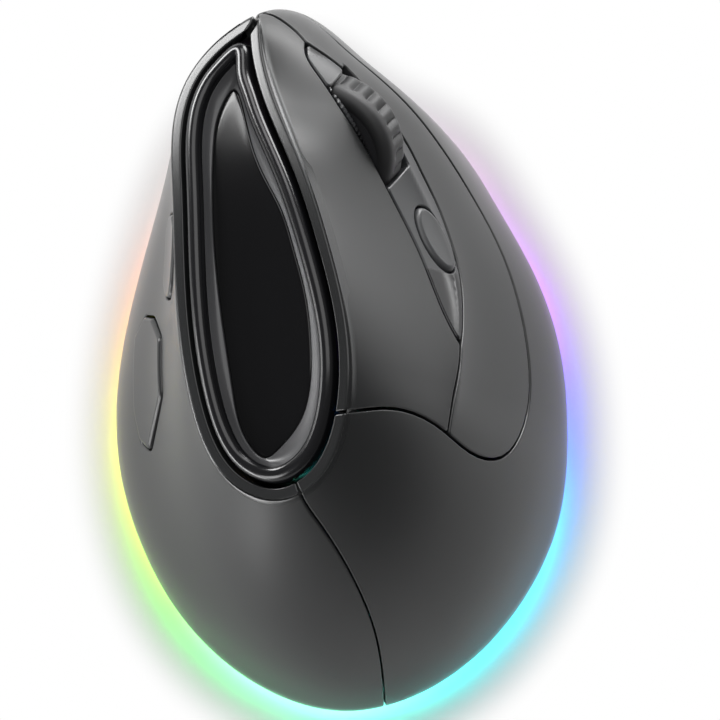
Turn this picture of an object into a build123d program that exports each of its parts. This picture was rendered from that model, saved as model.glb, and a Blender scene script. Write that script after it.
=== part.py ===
from build123d import *
from math import cos, radians, sin, sqrt
import os

import numpy as np

os.makedirs("parts", exist_ok=True)

# Upright mouse for the right hand, in millimetres: +X the finger side, +Y the nose, +Z up, feet on Z = 0.

# Outlines, clockwise from the nose: the foot line in plan, and the rim across and along the crown
FOOT_LINE = [(-8.4, 59.5), (4.6, 52.7), (19.2, 44.3), (28.5, 31.1), (35.7, 16.9), (39.8, 2.3),
             (40.7, -10.2), (39.1, -25.6), (32.0, -40.7), (18.5, -53.8), (0.0, -59.3), (-16.5, -53.6),
             (-28.9, -41.6), (-36.2, -25.4), (-38.6, -7.7), (-36.5, 12.2), (-31.8, 29.7), (-25.0, 44.8),
             (-17.2, 53.8)]
RIM_LINE = [(18.6, 52.2), (19.9, 49.0), (21.0, 44.4), (23.6, 37.6), (30.2, 24.0), (34.7, 10.9),
            (37.2, -1.7), (36.3, -13.7), (30.0, -25.0), (20.4, -28.6), (12.0, -24.7), (6.6, -11.7),
            (5.1, 5.8), (4.5, 23.7), (4.2, 36.3), (6.4, 43.3), (10.6, 48.2), (15.6, 51.4)]

# Share of the way in from the foot line to the rim, at eight even turns round the body from the nose
LOW_SHARE = [-0.04, 0.12, 0.16, 0.14, 0.12, 0.16, 0.17, 0.10]       # a third of the way up
HIGH_SHARE = [0.14, 0.46, 0.59, 0.47, 0.45, 0.49, 0.60, 0.58]      # two thirds of the way up
THUMB_HOLLOW = [0.0, 0.0, 0.0, 0.0, 0.0, 0.02, 0.15, 0.06]         # extra draw-in above the thumb rest
SKIN_TURNS = 48             # places round the body that the skin is drawn through
SETTLE_RISE = 0.12          # share of the rise over which the skin leaves its upright foot
TUCK_RISE = 0.14            # share of the rise over which the foot's tuck fades out
LID_MARGIN = 0.6            # the skin is drawn this far past the crown, which then cuts it
CUT_MARGIN = 1.0            # how far a cutter starts before, or ends past, what it cuts
THROUGH = 90.0              # longer than any cut through the body

# Shell
FOOT_HEIGHT = 3.0           # underside of the shells above the table
FOOT_TUCK = 1.6             # the skin draws in this much at its foot
WALL = 2.0
SEAM = 0.4                  # gap between neighbouring shells
NOSE_GAP = 0.9              # wider gap that the main buttons' nose ends move across
CROWN_ROLL = 30.0           # degrees that the crown leans to the thumb side
CROWN_RADIUS = 160.0        # arch of the crown from nose to heel
CROWN_HEIGHT = 63.4         # top of the arch, along the crown's own normal
CROWN_APEX = 19.3           # along Y

# Loop on the crown
GROOVE = 0.9
BEAD_WIDTH = 2.6
BEAD_RISE = 0.9
BEAD_SEAT = 3.4             # depth below the crown that the bead stands on
WELL_FLOOR = 1.6
WELL_WALL_DEPTH = 1.2       # top of the well's inner wall below the crown
PANEL_DEPTH = 2.6
PANEL_THICKNESS = 1.2
PANEL_LINE = [(13.4, 40.3), (11.4, 36.9), (10.6, 31.5), (10.6, 24.7), (11.1, 13.3), (12.2, 0.8),
              (13.2, -10.1), (15.4, -19.1), (18.1, -21.3), (21.1, -20.0), (26.3, -15.1), (28.3, -10.0),
              (29.0, -3.7), (28.5, 4.4), (26.7, 11.6), (24.7, 17.8), (18.2, 30.7)]

# Finger slope, its plane leaning to the right, with lines drawn down and along it
SLOPE_ANGLE = 50.0
SLOPE_ORIGIN = (16.6, -0.7, 50.0)
BUTTON_SEAM = [(-36, -15.3), (-24.1, -14.8), (-16.9, -13.5), (-9.0, -13.6), (-3.0, -15.1), (5.0, -17.9),
               (11.0, -18.6), (16.3, -17.5), (21.8, -13.4), (25.9, -7.3), (27.6, 2.0), (27.8, 13.0),
               (26.4, 24.0), (21.5, 33.5), (13.9, 40.2), (6.0, 44.5), (-2.0, 49.0), (-8.0, 54.5), (-12, 63)]
FRONT_SEAM = [(-36, 52.6), (-28.4, 53.8), (-24.5, 54.6), (-21.2, 53.6), (-18.4, 51.2), (-17.8, 50.2)]
STRIP_LEFT = [(-17.8, 50.2), (-19.2, 47.6), (-18.0, 43.8), (-15.1, 38.8), (-9.2, 32.4), (-4.0, 25.9),
              (-0.7, 20.3), (0.9, 16.3), (2.1, 10.8), (3.3, 5.2), (5.3, 0.2)]
STRIP_RIGHT = [(-17.8, 50.2), (-15.6, 49.2), (-12.1, 47.2), (-8.0, 43.5), (-1.5, 39.2), (4.0, 34.9),
               (6.4, 31.8), (9.5, 26.6), (10.8, 20.2), (10.7, 14.1), (8.9, 7.7), (6.6, 2.4), (5.3, 0.2)]
MIDDLE_SEAM = [(5.3, 0.2), (4.2, -2.6), (1.0, -9.1), (-0.8, -15.1), (-1.0, -16.4)]
SEAM_REACH = 45.0           # how far the seams are cut, each way from the slope plane

# Splits of the shell in plan, across from below the crown's top and along the body
NOSE_SPLIT = [(11.7, 60.0), (15.1, 55.6), (17.9, 52.9), (17.3, 50.8), (15.4, 48.0), (14.5, 43.3)]
HEEL_SPLIT = [(23.3, -20.7), (26.1, -28.9), (28.4, -31.9), (31.7, -36.3), (35.1, -41.9), (37.7, -47.8),
              (39.0, -53.6), (39.6, -59.1), (39.8, -64.7)]

# Main buttons on their hinge rod
HINGE_Y = -8.0
HINGE_DEPTH = 6.0           # rod's axis below the slope plane
ROD_RADIUS = 1.0
ROD_CLEARANCE = 0.06
ROD_START = -20.0
ROD_LENGTH = 43.0
LUG_WIDTH = 3.0
LUG_RADIUS = 2.6
LEFT_LUGS = [-15.5, -6.5]   # where each lug starts, down the slope
RIGHT_LUGS = [5.0, 15.0]
BEARINGS = [-20.0, -1.0, 21.0]
BEARING_WIDTH = 2.0
BEARING_RADIUS = 2.8

# Slope plate of the frame, and the board on it
PLATE_DEPTH = 15.5          # top of the plate below the slope plane
PLATE_THICKNESS = 2.0
PLATE_LINE = [(-21, -12), (21, -12), (21, 24), (14, 30), (9, 30), (6.5, 23.5), (-2, 21), (-10, 20),
              (-13, 26), (-21, 26)]
BOARD_START = -4.5          # along Y
POST_CLEARANCE = 0.3
STRIP_POSTS = [(5.6, 4.5), (6.6, 10.2)]
BOARD_THICKNESS = 1.6
BOARD_MARGIN = 1.5
LEFT_SWITCH_AT = (-16.5, 19.0)
RIGHT_SWITCH_AT = (15.0, 13.0)

# Micro switches: body length, width, height, and the moving pin
SWITCH_SIZE = (10.0, 5.8, 5.0)
TACT_SIZE = (6.0, 6.0, 4.3)
LOW_TACT_SIZE = (6.0, 6.0, 3.1)
PIN_RADIUS = 1.1
PIN_CLEARANCE = 0.15
PIN_STAND = 0.7
PIN_DEPTH = 1.0
PIN_ROOM = 0.8              # free bore under the pin
POST_RADIUS = 1.6

# Resolution button
DPI_AT = (6.0, 19.3)
DPI_LENGTH = 11.7
DPI_WIDTH = 6.4
DPI_TURN = 25.0
CAP_CLEARANCE = 0.3
CAP_PROUD = 0.5
CAP_THICKNESS = 3.0
FLANGE = 0.8
FLANGE_GAP = 0.35
FLANGE_THICKNESS = 1.0
BUTTON_REACH = 12.0         # how far a button's outline is drawn through the skin, each way

# Thumb buttons, drawn rearwards and upwards on a plane facing the thumb
FLANK_ORIGIN = (-32.9, -4.7, 33.5)
FLANK_NORMAL = (-0.87, 0.0, 0.49)
BACK_LINE = [(-11.8, -2.0), (-10.8, 2.2), (-6.5, 7.0), (3.2, 7.2), (11.5, -1.5), (9.5, -4.8), (4.5, -6.3),
             (-9.0, -6.3)]
FORWARD_LINE = [(-12.2, 13.6), (-13.0, 9.6), (-15.6, 7.6), (-24.5, 7.6), (-27.3, 9.8), (-26.8, 13.0),
                (-24.2, 15.2), (-14.4, 15.2)]
THUMB_CORNER = 1.2
BACK_SWITCH_AT = (0.0, 0.0)
FORWARD_SWITCH_AT = (-18.0, 10.0)
SIDE_BOARD_DEPTH = 11.4     # face of the side board below the flank plane
SIDE_BOARD_SIZE = (30.0, 20.0)
SIDE_BOARD_AT = (-8.0, 4.5)
SIDE_LEG_WIDTH = 4.0
SIDE_LEG_THICKNESS = 2.0
SIDE_LEGS = [-8.7, 11.3]    # along Y
SIDE_FOOT = 3.0

# Scroll wheel, on axes of its own
WHEEL_CENTRE = (-0.9, 34.9, 44.5)
WHEEL_OUTWARD = (0.79, 0.12, 0.60)
WHEEL_AXIS = (-0.425, -0.596, 0.669)
WHEEL_RADIUS = 12.0
WHEEL_WIDTH = 7.0
TYRE_THICKNESS = 2.4
HUB_COLLAR_WIDTH = 8.0
HUB_COLLAR_RADIUS = 3.5
AXLE_RADIUS = 1.2
AXLE_CLEARANCE = 0.05
WHEEL_ROOM = 0.7
ARM_GAP = 0.6
ARM_THICKNESS = 1.5
ARM_LENGTH = 9.0
ARM_TOP = 3.0
CARRIER_FLOOR = 13.0        # top of the carrier's floor below the axle
CARRIER_THICKNESS = 2.0
SLIDE_CLEARANCE = 0.3
CRADLE_WALL = 1.7
CRADLE_HEIGHT = 7.5
CRADLE_ARM_END = 29.3
CRADLE_ARM_Z = (28.0, 36.0)
CAP_START = 9.2             # nose end of the wheel's opening, ahead of the axle
ENCODER_SIZE = 8.0
ENCODER_THICKNESS = 3.0

# Base
BASE_BOTTOM = 0.6
WINDOW_BOTTOM = 0.9         # lens and switch knob stop this high above the table
BASE_TOP = 2.6
BASE_INSET = 4.0
RING_INSET = 2.2
RING_BOTTOM = 0.9
RING_TOP = 2.8
LED_BOARD_GAP = 0.2
LED_BOARD_WIDTH = 1.6
LED_BOARD_THICKNESS = 0.6
LED_SIZE = 1.4
LED_HEIGHT = 0.8
LED_COUNT = 18
GLIDE_THICKNESS = 0.8
GLIDE_LENGTH = 18.0
GLIDE_WIDTH = 7.0
GLIDES = {"front_glide": (-5, 43, 0), "right_glide": (26.5, 8, 90),
          "rear_glide": (0, -47, 0), "left_glide": (-26.5, 8, 90)}
BOSS_INSET = 9.2
BOSS_RADIUS = 3.0
BOSS_TOP = 12.0
BOSS_LID = 1.0              # closed top of a boss, over its screw hole
WEB_WIDTH = 2.0
WEB_BOTTOM = 6.0
PALM_BOSSES = [0.15, 0.27, 0.42]    # turns round the foot line from the nose
THUMB_BOSSES = [0.62, 0.74, 0.88]
SCREW_RADIUS = 1.0
SCREW_HEAD_RADIUS = 1.9
SCREW_HEAD = 1.0
SCREW_LENGTH = 8.0
SCREW_SINK = 0.2

# What stands on the base
MAIN_BOARD_X = (-6.0, 12.0)
MAIN_BOARD_Y = (-24.0, 33.0)
SOCKET_TONGUE_X = (-13.5, -3.0)     # the board's narrow end under the socket
MAIN_BOARD_BOTTOM = 5.4
BOARD_STUDS = [(-3.0, -20.0), (9.0, -20.0), (-3.0, 29.0)]
STUD_RADIUS = 2.4
SENSOR_AT = (4.0, 6.0)
SENSOR_SIZE = (10.0, 12.0, 2.2)
LENS_SIZE = (14.0, 18.0)
LENS_RADIUS = 3.0
PROCESSOR_AT = (4.0, 22.0)
PROCESSOR_SIZE = (7.0, 7.0, 1.0)
BATTERY_SIZE = (32.0, 15.0, 9.0)
BATTERY_Y = -33.5
BULKHEAD_X = (-9.9, -7.9)
BULKHEAD_Y = (-12.7, 19.3)
RIGHT_LEG_X = (15.4, 17.4)
RIGHT_LEGS = [-9.7, 18.3]
RIGHT_LEG_WIDTH = 6.0
FRAME_FOOT = 1.5
BULKHEAD_FOOT = 3.0
SOCKET_X = -8.6
SOCKET_TURN = 0.0
SOCKET_RISE = 0.1
SOCKET_SIZE = (9.0, 7.4, 3.2)
SOCKET_WALL = 0.4
SOCKET_DEPTH = 5.5
SOCKET_TONGUE = (6.6, 4.5, 0.8)
SOCKET_SETBACK = 2.8
SOCKET_REACH = 10.0         # how far its opening is cut through the nose, each way
SOCKET_OVERHANG = 4.5       # how far the socket stands past the board's edge
POWER_AT = (4.0, -14.0)
POWER_TRAVEL = 2.5
POWER_BODY = (5.0, 9.0, 2.0)
KNOB_SIZE = (3.0, 3.0)
KNOB_FLANGE = 0.9
KNOB_FLANGE_THICKNESS = 0.4
KNOB_CLEARANCE = 0.2
RIBBON_LINE = [(10.5, 7.2), (16.6, 8.5), (21.6, 21.5), (20.4, 27.0), (17.8, 27.6)]
RIBBON_WIDTH = 8.0
RIBBON_THICKNESS = 0.3


# The crown's plane has x across the loop and z out of the crown; its side plane looks along the crown
crown = Plane(origin=(0, 0, 0), x_dir=(cos(radians(CROWN_ROLL)), 0, sin(radians(CROWN_ROLL))),
              z_dir=(-sin(radians(CROWN_ROLL)), 0, cos(radians(CROWN_ROLL))))
crown_side = Plane(origin=(0, 0, 0), x_dir=(0, 1, 0), z_dir=crown.x_dir)
split_plane = Plane(Vector(crown.from_local_coords(Vector(0, 0, CROWN_HEIGHT)).X, 0, 0))
# The slope's plane has x down the slope and z out of it; its side plane looks down the slope
slope = Plane(origin=SLOPE_ORIGIN, x_dir=(cos(radians(SLOPE_ANGLE)), 0, -sin(radians(SLOPE_ANGLE))),
              z_dir=(sin(radians(SLOPE_ANGLE)), 0, cos(radians(SLOPE_ANGLE))))
slope_side = Plane(origin=SLOPE_ORIGIN, x_dir=(0, 1, 0), z_dir=slope.x_dir)
# The flank's plane faces the thumb, with x to the rear and y up
flank = Plane(origin=FLANK_ORIGIN, x_dir=(0, -1, 0), z_dir=FLANK_NORMAL)
# The wheel's plane has x outward and y forward, and z is its axis; the carrier's plane faces outward
wheel_side = Plane(origin=WHEEL_CENTRE, x_dir=WHEEL_OUTWARD, z_dir=WHEEL_AXIS)
wheel_top = Plane(origin=WHEEL_CENTRE, x_dir=wheel_side.y_dir, z_dir=wheel_side.x_dir)


def closed_edge(points):
    """A smooth closed curve through flat points."""
    return Edge.make_spline([(x, y, 0) for x, y in points], periodic=True)


foot_edge = closed_edge(FOOT_LINE)
rim_edge = closed_edge(RIM_LINE)


def around(values, turn):
    """Smooth closed function through values evenly spaced round the body: their Fourier series."""
    waves = np.fft.rfft(values) / len(values)
    waves[1:-1] *= 2
    return sum((wave * np.exp(2j * np.pi * order * turn)).real for order, wave in enumerate(waves))


def inside(edge, turn, inset):
    """Point at a share of a clockwise closed curve's length, moved inwards by the inset."""
    place = edge @ turn
    way = edge % turn
    return place.X + inset * way.Y, place.Y - inset * way.X


def inset_line(edge, inset, samples=240, step=6):
    """Outline at a distance inside a closed curve, without the points that a tight bend folds over."""
    turns = [number / samples for number in range(samples)]
    line = np.array([inside(edge, turn, 0) for turn in turns])
    moved = np.array([inside(edge, turn, inset) for turn in turns])
    gaps = np.sqrt(((moved[:, None] - line[None]) ** 2).sum(axis=2)).min(axis=1)
    kept = moved[gaps > inset - 0.02]
    kept = np.vstack([kept, kept[:1]])
    lengths = np.append(0, np.cumsum(np.linalg.norm(np.diff(kept, axis=0), axis=1)))
    even = np.linspace(0, lengths[-1], samples // step, endpoint=False)
    return [(np.interp(place, lengths, kept[:, 0]), np.interp(place, lengths, kept[:, 1])) for place in even]


def rim_point(turn, inset):
    """Point of the rim on the arched crown, moved into the loop."""
    across, along = inside(rim_edge, turn, inset)
    height = CROWN_HEIGHT - CROWN_RADIUS + sqrt(CROWN_RADIUS ** 2 - (along - CROWN_APEX) ** 2)
    return crown.from_local_coords(Vector(across, along, height))


def skin_point(turn, rise):
    """Point of the outer skin at a turn round the body and a share of the rise from foot to rim.

    The way in from foot to rim is a cubic in the rise through 0, the low share, the high share and 1,
    less a sine for the thumb's hollow, and it starts upright at the foot.
    """
    low_weight = 13.5 * rise * (rise - 2 / 3) * (rise - 1)
    high_weight = -13.5 * rise * (rise - 1 / 3) * (rise - 1)
    rim_weight = 4.5 * rise * (rise - 1 / 3) * (rise - 2 / 3)
    share = around(LOW_SHARE, turn) * low_weight + around(HIGH_SHARE, turn) * high_weight + rim_weight
    share -= around(THUMB_HOLLOW, turn) * sin(2 * np.pi * rise)
    share *= 1 - np.exp(-(rise / SETTLE_RISE) ** 2)
    foot = inside(foot_edge, turn, FOOT_TUCK * max(0, 1 - rise / TUCK_RISE) ** 2)
    rim = rim_point(turn, 0)
    return Vector(foot[0] + (rim.X - foot[0]) * share, foot[1] + (rim.Y - foot[1]) * share,
                  FOOT_HEIGHT + (rim.Z - FOOT_HEIGHT) * rise)


def skin_normal(turn, rise):
    """Outward normal of the skin."""
    round_way = skin_point(turn + 0.001, rise) - skin_point(turn - 0.001, rise)
    up_way = skin_point(turn, rise + 0.001) - skin_point(turn, rise - 0.001)
    return up_way.cross(round_way).normalized()


TURNS = [number / SKIN_TURNS for number in range(SKIN_TURNS)]
RISES = [0.06, 0.13, 0.22, 0.34, 0.46, 0.58, 0.70, 0.82, 0.92]


def skin_solid(depth, bottom=FOOT_HEIGHT):
    """Solid bounded by the skin moved inwards by a depth, up to just above the crown."""
    rows = [[Vector(*inside(foot_edge, turn, FOOT_TUCK + depth), bottom) for turn in TURNS]]
    for rise in RISES:
        rows.append([skin_point(turn, rise) - skin_normal(turn, rise) * depth for turn in TURNS])
    rows.append([rim_point(turn, depth) for turn in TURNS])
    lid = []
    for turn in TURNS:
        start = rim_point(turn, depth)
        lean = (skin_point(turn, 1) - skin_point(turn, 0.96)).normalized() + crown.z_dir
        reach = (CROWN_HEIGHT + LID_MARGIN - crown.to_local_coords(start).Z) / lean.dot(crown.z_dir)
        lid.append(start + lean * reach)
    rows.append(lid)
    knots = TURNS + [1.0]
    wires = [Wire([Edge.make_spline(row, periodic=True, parameters=knots)]) for row in rows]
    return Solid.make_loft(wires)


def crown_disc(depth):
    """Everything below the arched crown lowered by a depth."""
    with BuildPart() as disc:
        with BuildSketch(crown_side):
            with Locations((CROWN_APEX, CROWN_HEIGHT - CROWN_RADIUS)):
                Circle(CROWN_RADIUS - depth)
        extrude(amount=THROUGH, both=True)
    return disc.part


def crown_slab(outline, top, bottom):
    """Arched slab with an outline on the crown, between two depths below it."""
    with BuildPart() as slab:
        with BuildSketch(crown):
            with BuildLine():
                Spline(*outline, periodic=True)
            make_face()
        extrude(amount=THROUGH)
        add(crown_disc(top), mode=Mode.INTERSECT)
        add(crown_disc(bottom), mode=Mode.SUBTRACT)
    return slab.part


def foot_slab(inset, bottom, top):
    """Flat slab inside the foot line, between two heights."""
    with BuildPart() as slab:
        with BuildSketch(Plane.XY.offset(bottom)):
            with BuildLine():
                Spline(*inset_line(foot_edge, inset), periodic=True)
            make_face()
        extrude(amount=top - bottom)
    return slab.part


def block(x, y, z):
    """Box between pairs of coordinates."""
    with BuildPart() as box:
        with Locations(((x[0] + x[1]) / 2, (y[0] + y[1]) / 2, (z[0] + z[1]) / 2)):
            Box(x[1] - x[0], y[1] - y[0], z[1] - z[0])
    return box.part


# Skins at the depths that the pieces need
skin_bottom = BASE_TOP - CUT_MARGIN
outer_skin = skin_solid(0)
inner_skin = skin_solid(WALL, skin_bottom)
bond_skin = skin_solid(WALL / 2, skin_bottom)
proud_skin = skin_solid(-CAP_PROUD, skin_bottom)
cap_skin = skin_solid(CAP_THICKNESS, skin_bottom)
flange_skin = skin_solid(WALL + FLANGE_GAP, skin_bottom)
flange_floor = skin_solid(WALL + FLANGE_GAP + FLANGE_THICKNESS, skin_bottom)

# Shell wall, cut along its seams
with BuildSketch(slope) as slope_seams:
    for line in (BUTTON_SEAM, FRONT_SEAM, STRIP_LEFT, STRIP_RIGHT, MIDDLE_SEAM):
        with BuildLine():
            Spline(*line)
        trace(line_width=SEAM)
with BuildSketch(split_plane) as nose_split:
    with BuildLine():
        Spline(*NOSE_SPLIT)
    trace(line_width=NOSE_GAP)
with BuildSketch(split_plane) as heel_split:
    with BuildLine():
        Spline(*HEEL_SPLIT)
    trace(line_width=SEAM)

with BuildPart() as shell:
    add(outer_skin)
    add(inner_skin, mode=Mode.SUBTRACT)
    add(crown_disc(0), mode=Mode.INTERSECT)
    extrude(nose_split.sketch, amount=THROUGH, mode=Mode.SUBTRACT)
    extrude(heel_split.sketch, amount=THROUGH, mode=Mode.SUBTRACT)
thumb_wall, finger_wall = shell.part.solids().sort_by(Axis.X)
with BuildPart() as finger_side:
    add(finger_wall)
    extrude(slope_seams.sketch, amount=SEAM_REACH, both=True, mode=Mode.SUBTRACT)
finger_parts = finger_side.part.solids()


def nearest(solids, place):
    """The solid nearest to a place on the slope."""
    return solids.sort_by_distance(slope.from_local_coords(Vector(*place)))[0]


def posts(plane, places, start):
    """Round posts on a plane, from a height outwards to inside the shell's wall."""
    with BuildPart() as stem:
        with BuildSketch(plane.offset(start)):
            with Locations(*places):
                Circle(POST_RADIUS)
        extrude(amount=THROUGH)
        add(bond_skin, mode=Mode.INTERSECT)
    return stem.part


def lugs(starts):
    """Hinge lugs that hang from a button's wall, with running bores for the rod."""
    with BuildPart() as hanging:
        for start in starts:
            with BuildSketch(slope_side.offset(start)):
                with Locations((HINGE_Y, -HINGE_DEPTH)):
                    Circle(LUG_RADIUS)
                    Rectangle(2 * LUG_RADIUS, 2 * HINGE_DEPTH, align=(Align.CENTER, Align.MIN))
            extrude(amount=LUG_WIDTH)
        add(bond_skin, mode=Mode.INTERSECT)
        with BuildSketch(slope_side.offset(ROD_START)):
            with Locations((HINGE_Y, -HINGE_DEPTH)):
                Circle(ROD_RADIUS + ROD_CLEARANCE)
        extrude(amount=ROD_LENGTH, mode=Mode.SUBTRACT)
    return hanging.part


def wheel_drum(radius, width):
    """Disc on the wheel's axis."""
    with BuildPart() as drum:
        with BuildSketch(wheel_side.offset(-width / 2)):
            Circle(radius)
        extrude(amount=width)
    return drum.part


def bosses(turns):
    """Screw bosses with webs out to the shell's wall."""
    with BuildPart() as group:
        for turn in turns:
            centre = Vector(*inside(foot_edge, turn, BOSS_INSET))
            outward = (Vector(*inside(foot_edge, turn, 0)) - centre).normalized()
            with BuildSketch(Plane.XY.offset(BASE_TOP)):
                with Locations(centre):
                    Circle(BOSS_RADIUS)
            extrude(amount=BOSS_TOP - BASE_TOP)
            with BuildSketch(Plane(origin=centre + Vector(0, 0, WEB_BOTTOM), x_dir=outward)):
                Rectangle(BOSS_INSET, WEB_WIDTH, align=(Align.MIN, Align.CENTER))
            extrude(amount=BOSS_TOP - WEB_BOTTOM)
        add(bond_skin, mode=Mode.INTERSECT)
        for turn in turns:
            with BuildSketch(Plane.XY.offset(BASE_TOP)):
                with Locations(Vector(*inside(foot_edge, turn, BOSS_INSET))):
                    Circle(SCREW_RADIUS)
            extrude(amount=BOSS_TOP - BASE_TOP - BOSS_LID, mode=Mode.SUBTRACT)
    return group.part


def dpi_outline(margin):
    """Outline of the resolution button, grown by a margin."""
    with BuildSketch() as shape:
        with Locations(DPI_AT):
            Ellipse(DPI_WIDTH / 2 + margin, DPI_LENGTH / 2 + margin, rotation=DPI_TURN)
    return shape.sketch


def rounded(points, margin):
    """Outline with rounded corners, grown by a margin."""
    with BuildSketch() as shape:
        with BuildLine():
            Polyline(*points, close=True)
        make_face()
        offset(amount=-THUMB_CORNER)
        offset(amount=THUMB_CORNER + margin)
    return shape.sketch


def back_outline(margin):
    """Outline of the rear thumb button, grown by a margin."""
    return rounded(BACK_LINE, margin)


def forward_outline(margin):
    """Outline of the front thumb button, grown by a margin."""
    return rounded(FORWARD_LINE, margin)


def push_button(plane, outline, place, pin_top):
    """Button cap that follows the skin, its retaining flange and the stem down to its switch's pin."""
    with BuildPart() as rim:
        with BuildSketch(plane):
            add(outline(FLANGE))
        extrude(amount=BUTTON_REACH, both=True)
        add(flange_skin, mode=Mode.INTERSECT)
        add(flange_floor, mode=Mode.SUBTRACT)
    with BuildPart() as cap:
        with BuildSketch(plane):
            add(outline(0))
        extrude(amount=BUTTON_REACH, both=True)
        add(proud_skin, mode=Mode.INTERSECT)
        add(cap_skin, mode=Mode.SUBTRACT)
        add(rim.part)
        add(posts(plane, [place], pin_top))
    return cap.part


def opening(plane, outline):
    """Cutter for a button's opening in the skin."""
    with BuildPart() as cutter:
        with BuildSketch(plane):
            add(outline(CAP_CLEARANCE))
        extrude(amount=BUTTON_REACH, both=True)
    return cutter.part


def switch_housing(plane, place, size):
    """Micro switch's body on a board, with the bore that its pin moves in."""
    with BuildPart() as housing:
        with BuildSketch(plane):
            with Locations(place):
                Rectangle(size[1], size[0])
        extrude(amount=size[2])
        with BuildSketch(plane.offset(size[2])):
            with Locations(place):
                Circle(PIN_RADIUS + PIN_CLEARANCE)
        extrude(amount=-(PIN_DEPTH + PIN_ROOM), mode=Mode.SUBTRACT)
    return housing.part


def switch_pin(plane, place, size):
    """Micro switch's pin, which its button presses."""
    with BuildPart() as pin:
        with BuildSketch(plane.offset(size[2] - PIN_DEPTH)):
            with Locations(place):
                Circle(PIN_RADIUS)
        extrude(amount=PIN_DEPTH + PIN_STAND)
    return pin.part


def save(part, name):
    """Name a piece and write it."""
    part.label = name
    export_step(part, f"parts/{name}.step")


# Seats of the switches, and how high their pins stand
slope_board = slope.offset(BOARD_THICKNESS - PLATE_DEPTH)
side_board_face = flank.offset(-SIDE_BOARD_DEPTH)
cradle_floor = CARRIER_FLOOR + CARRIER_THICKNESS + PIN_STAND + TACT_SIZE[2]
wheel_board = wheel_top.offset(-cradle_floor)
main_pin_top = BOARD_THICKNESS - PLATE_DEPTH + SWITCH_SIZE[2] + PIN_STAND
dpi_pin_top = BOARD_THICKNESS - PLATE_DEPTH + LOW_TACT_SIZE[2] + PIN_STAND
side_pin_top = TACT_SIZE[2] + PIN_STAND - SIDE_BOARD_DEPTH

# Main buttons, with their hinge lugs and the posts that press their switches
with BuildPart() as left_button:
    add(nearest(finger_parts, (-12, 5, 0)))
    add(lugs(LEFT_LUGS))
    add(posts(slope, [LEFT_SWITCH_AT], main_pin_top))
    add(wheel_drum(WHEEL_RADIUS + WHEEL_ROOM, WHEEL_WIDTH + 2 * WHEEL_ROOM), mode=Mode.SUBTRACT)
with BuildPart() as right_button:
    add(nearest(finger_parts, (17, 0, 0)))
    add(lugs(RIGHT_LUGS))
    add(posts(slope, [RIGHT_SWITCH_AT], main_pin_top))
    add(wheel_drum(WHEEL_RADIUS + WHEEL_ROOM, WHEEL_WIDTH + 2 * WHEEL_ROOM), mode=Mode.SUBTRACT)
save(left_button.part, "left_button")
save(right_button.part, "right_button")

# Wheel strip on its two posts, and the cap at its nose end
with BuildPart() as strip_stock:
    add(nearest(finger_parts, (6.5, 9, -3)))
    add(wheel_drum(WHEEL_RADIUS + WHEEL_ROOM, WHEEL_WIDTH + 2 * WHEEL_ROOM), mode=Mode.SUBTRACT)
    add(opening(slope, dpi_outline), mode=Mode.SUBTRACT)
with BuildPart() as cap_space:
    with BuildSketch(wheel_top):
        with Locations((CAP_START, 0)):
            Rectangle(THROUGH, THROUGH, align=(Align.MIN, Align.CENTER))
    extrude(amount=THROUGH, both=True)
with BuildPart() as wheel_cap:
    add(strip_stock.part)
    add(cap_space.part, mode=Mode.INTERSECT)
with BuildPart() as wheel_strip:
    add(strip_stock.part)
    add(cap_space.part, mode=Mode.SUBTRACT)
    add(posts(slope, STRIP_POSTS, -PLATE_DEPTH))
save(wheel_cap.part, "wheel_cap")
save(wheel_strip.part, "wheel_strip")

# Fixed shells on their screw bosses
socket_front = skin_point(SOCKET_TURN, SOCKET_RISE).Y - SOCKET_SETBACK
board_top = MAIN_BOARD_BOTTOM + BOARD_THICKNESS
socket_z = board_top + SOCKET_SIZE[2] / 2
with BuildPart() as palm_shell:
    add(bosses(PALM_BOSSES))
    add(nearest(finger_parts, (40, -20, -10)))
    with BuildSketch(Plane.XZ.offset(-socket_front - SOCKET_REACH)):
        with Locations((SOCKET_X, socket_z)):
            SlotOverall(SOCKET_SIZE[0] + 2 * CAP_CLEARANCE, SOCKET_SIZE[2] + 2 * CAP_CLEARANCE)
    extrude(amount=2 * SOCKET_REACH, mode=Mode.SUBTRACT)
with BuildPart() as thumb_shell:
    add(thumb_wall)
    add(bosses(THUMB_BOSSES))
    add(opening(flank, back_outline), mode=Mode.SUBTRACT)
    add(opening(flank, forward_outline), mode=Mode.SUBTRACT)
save(palm_shell.part, "palm_shell")
save(thumb_shell.part, "thumb_shell")

# Small buttons
save(push_button(slope, dpi_outline, DPI_AT, dpi_pin_top), "dpi_button")
save(push_button(flank, back_outline, BACK_SWITCH_AT, side_pin_top), "back_button")
save(push_button(flank, forward_outline, FORWARD_SWITCH_AT, side_pin_top), "forward_button")

# Switches
for name, plane, place, size in (
        ("left", slope_board, LEFT_SWITCH_AT, SWITCH_SIZE),
        ("right", slope_board, RIGHT_SWITCH_AT, SWITCH_SIZE),
        ("dpi", slope_board, DPI_AT, LOW_TACT_SIZE),
        ("back", side_board_face, BACK_SWITCH_AT, TACT_SIZE),
        ("forward", side_board_face, FORWARD_SWITCH_AT, TACT_SIZE),
        ("wheel", wheel_board, (0, 0), TACT_SIZE)):
    save(switch_housing(plane, place, size), f"{name}_switch")
    save(switch_pin(plane, place, size), f"{name}_pin")

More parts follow.
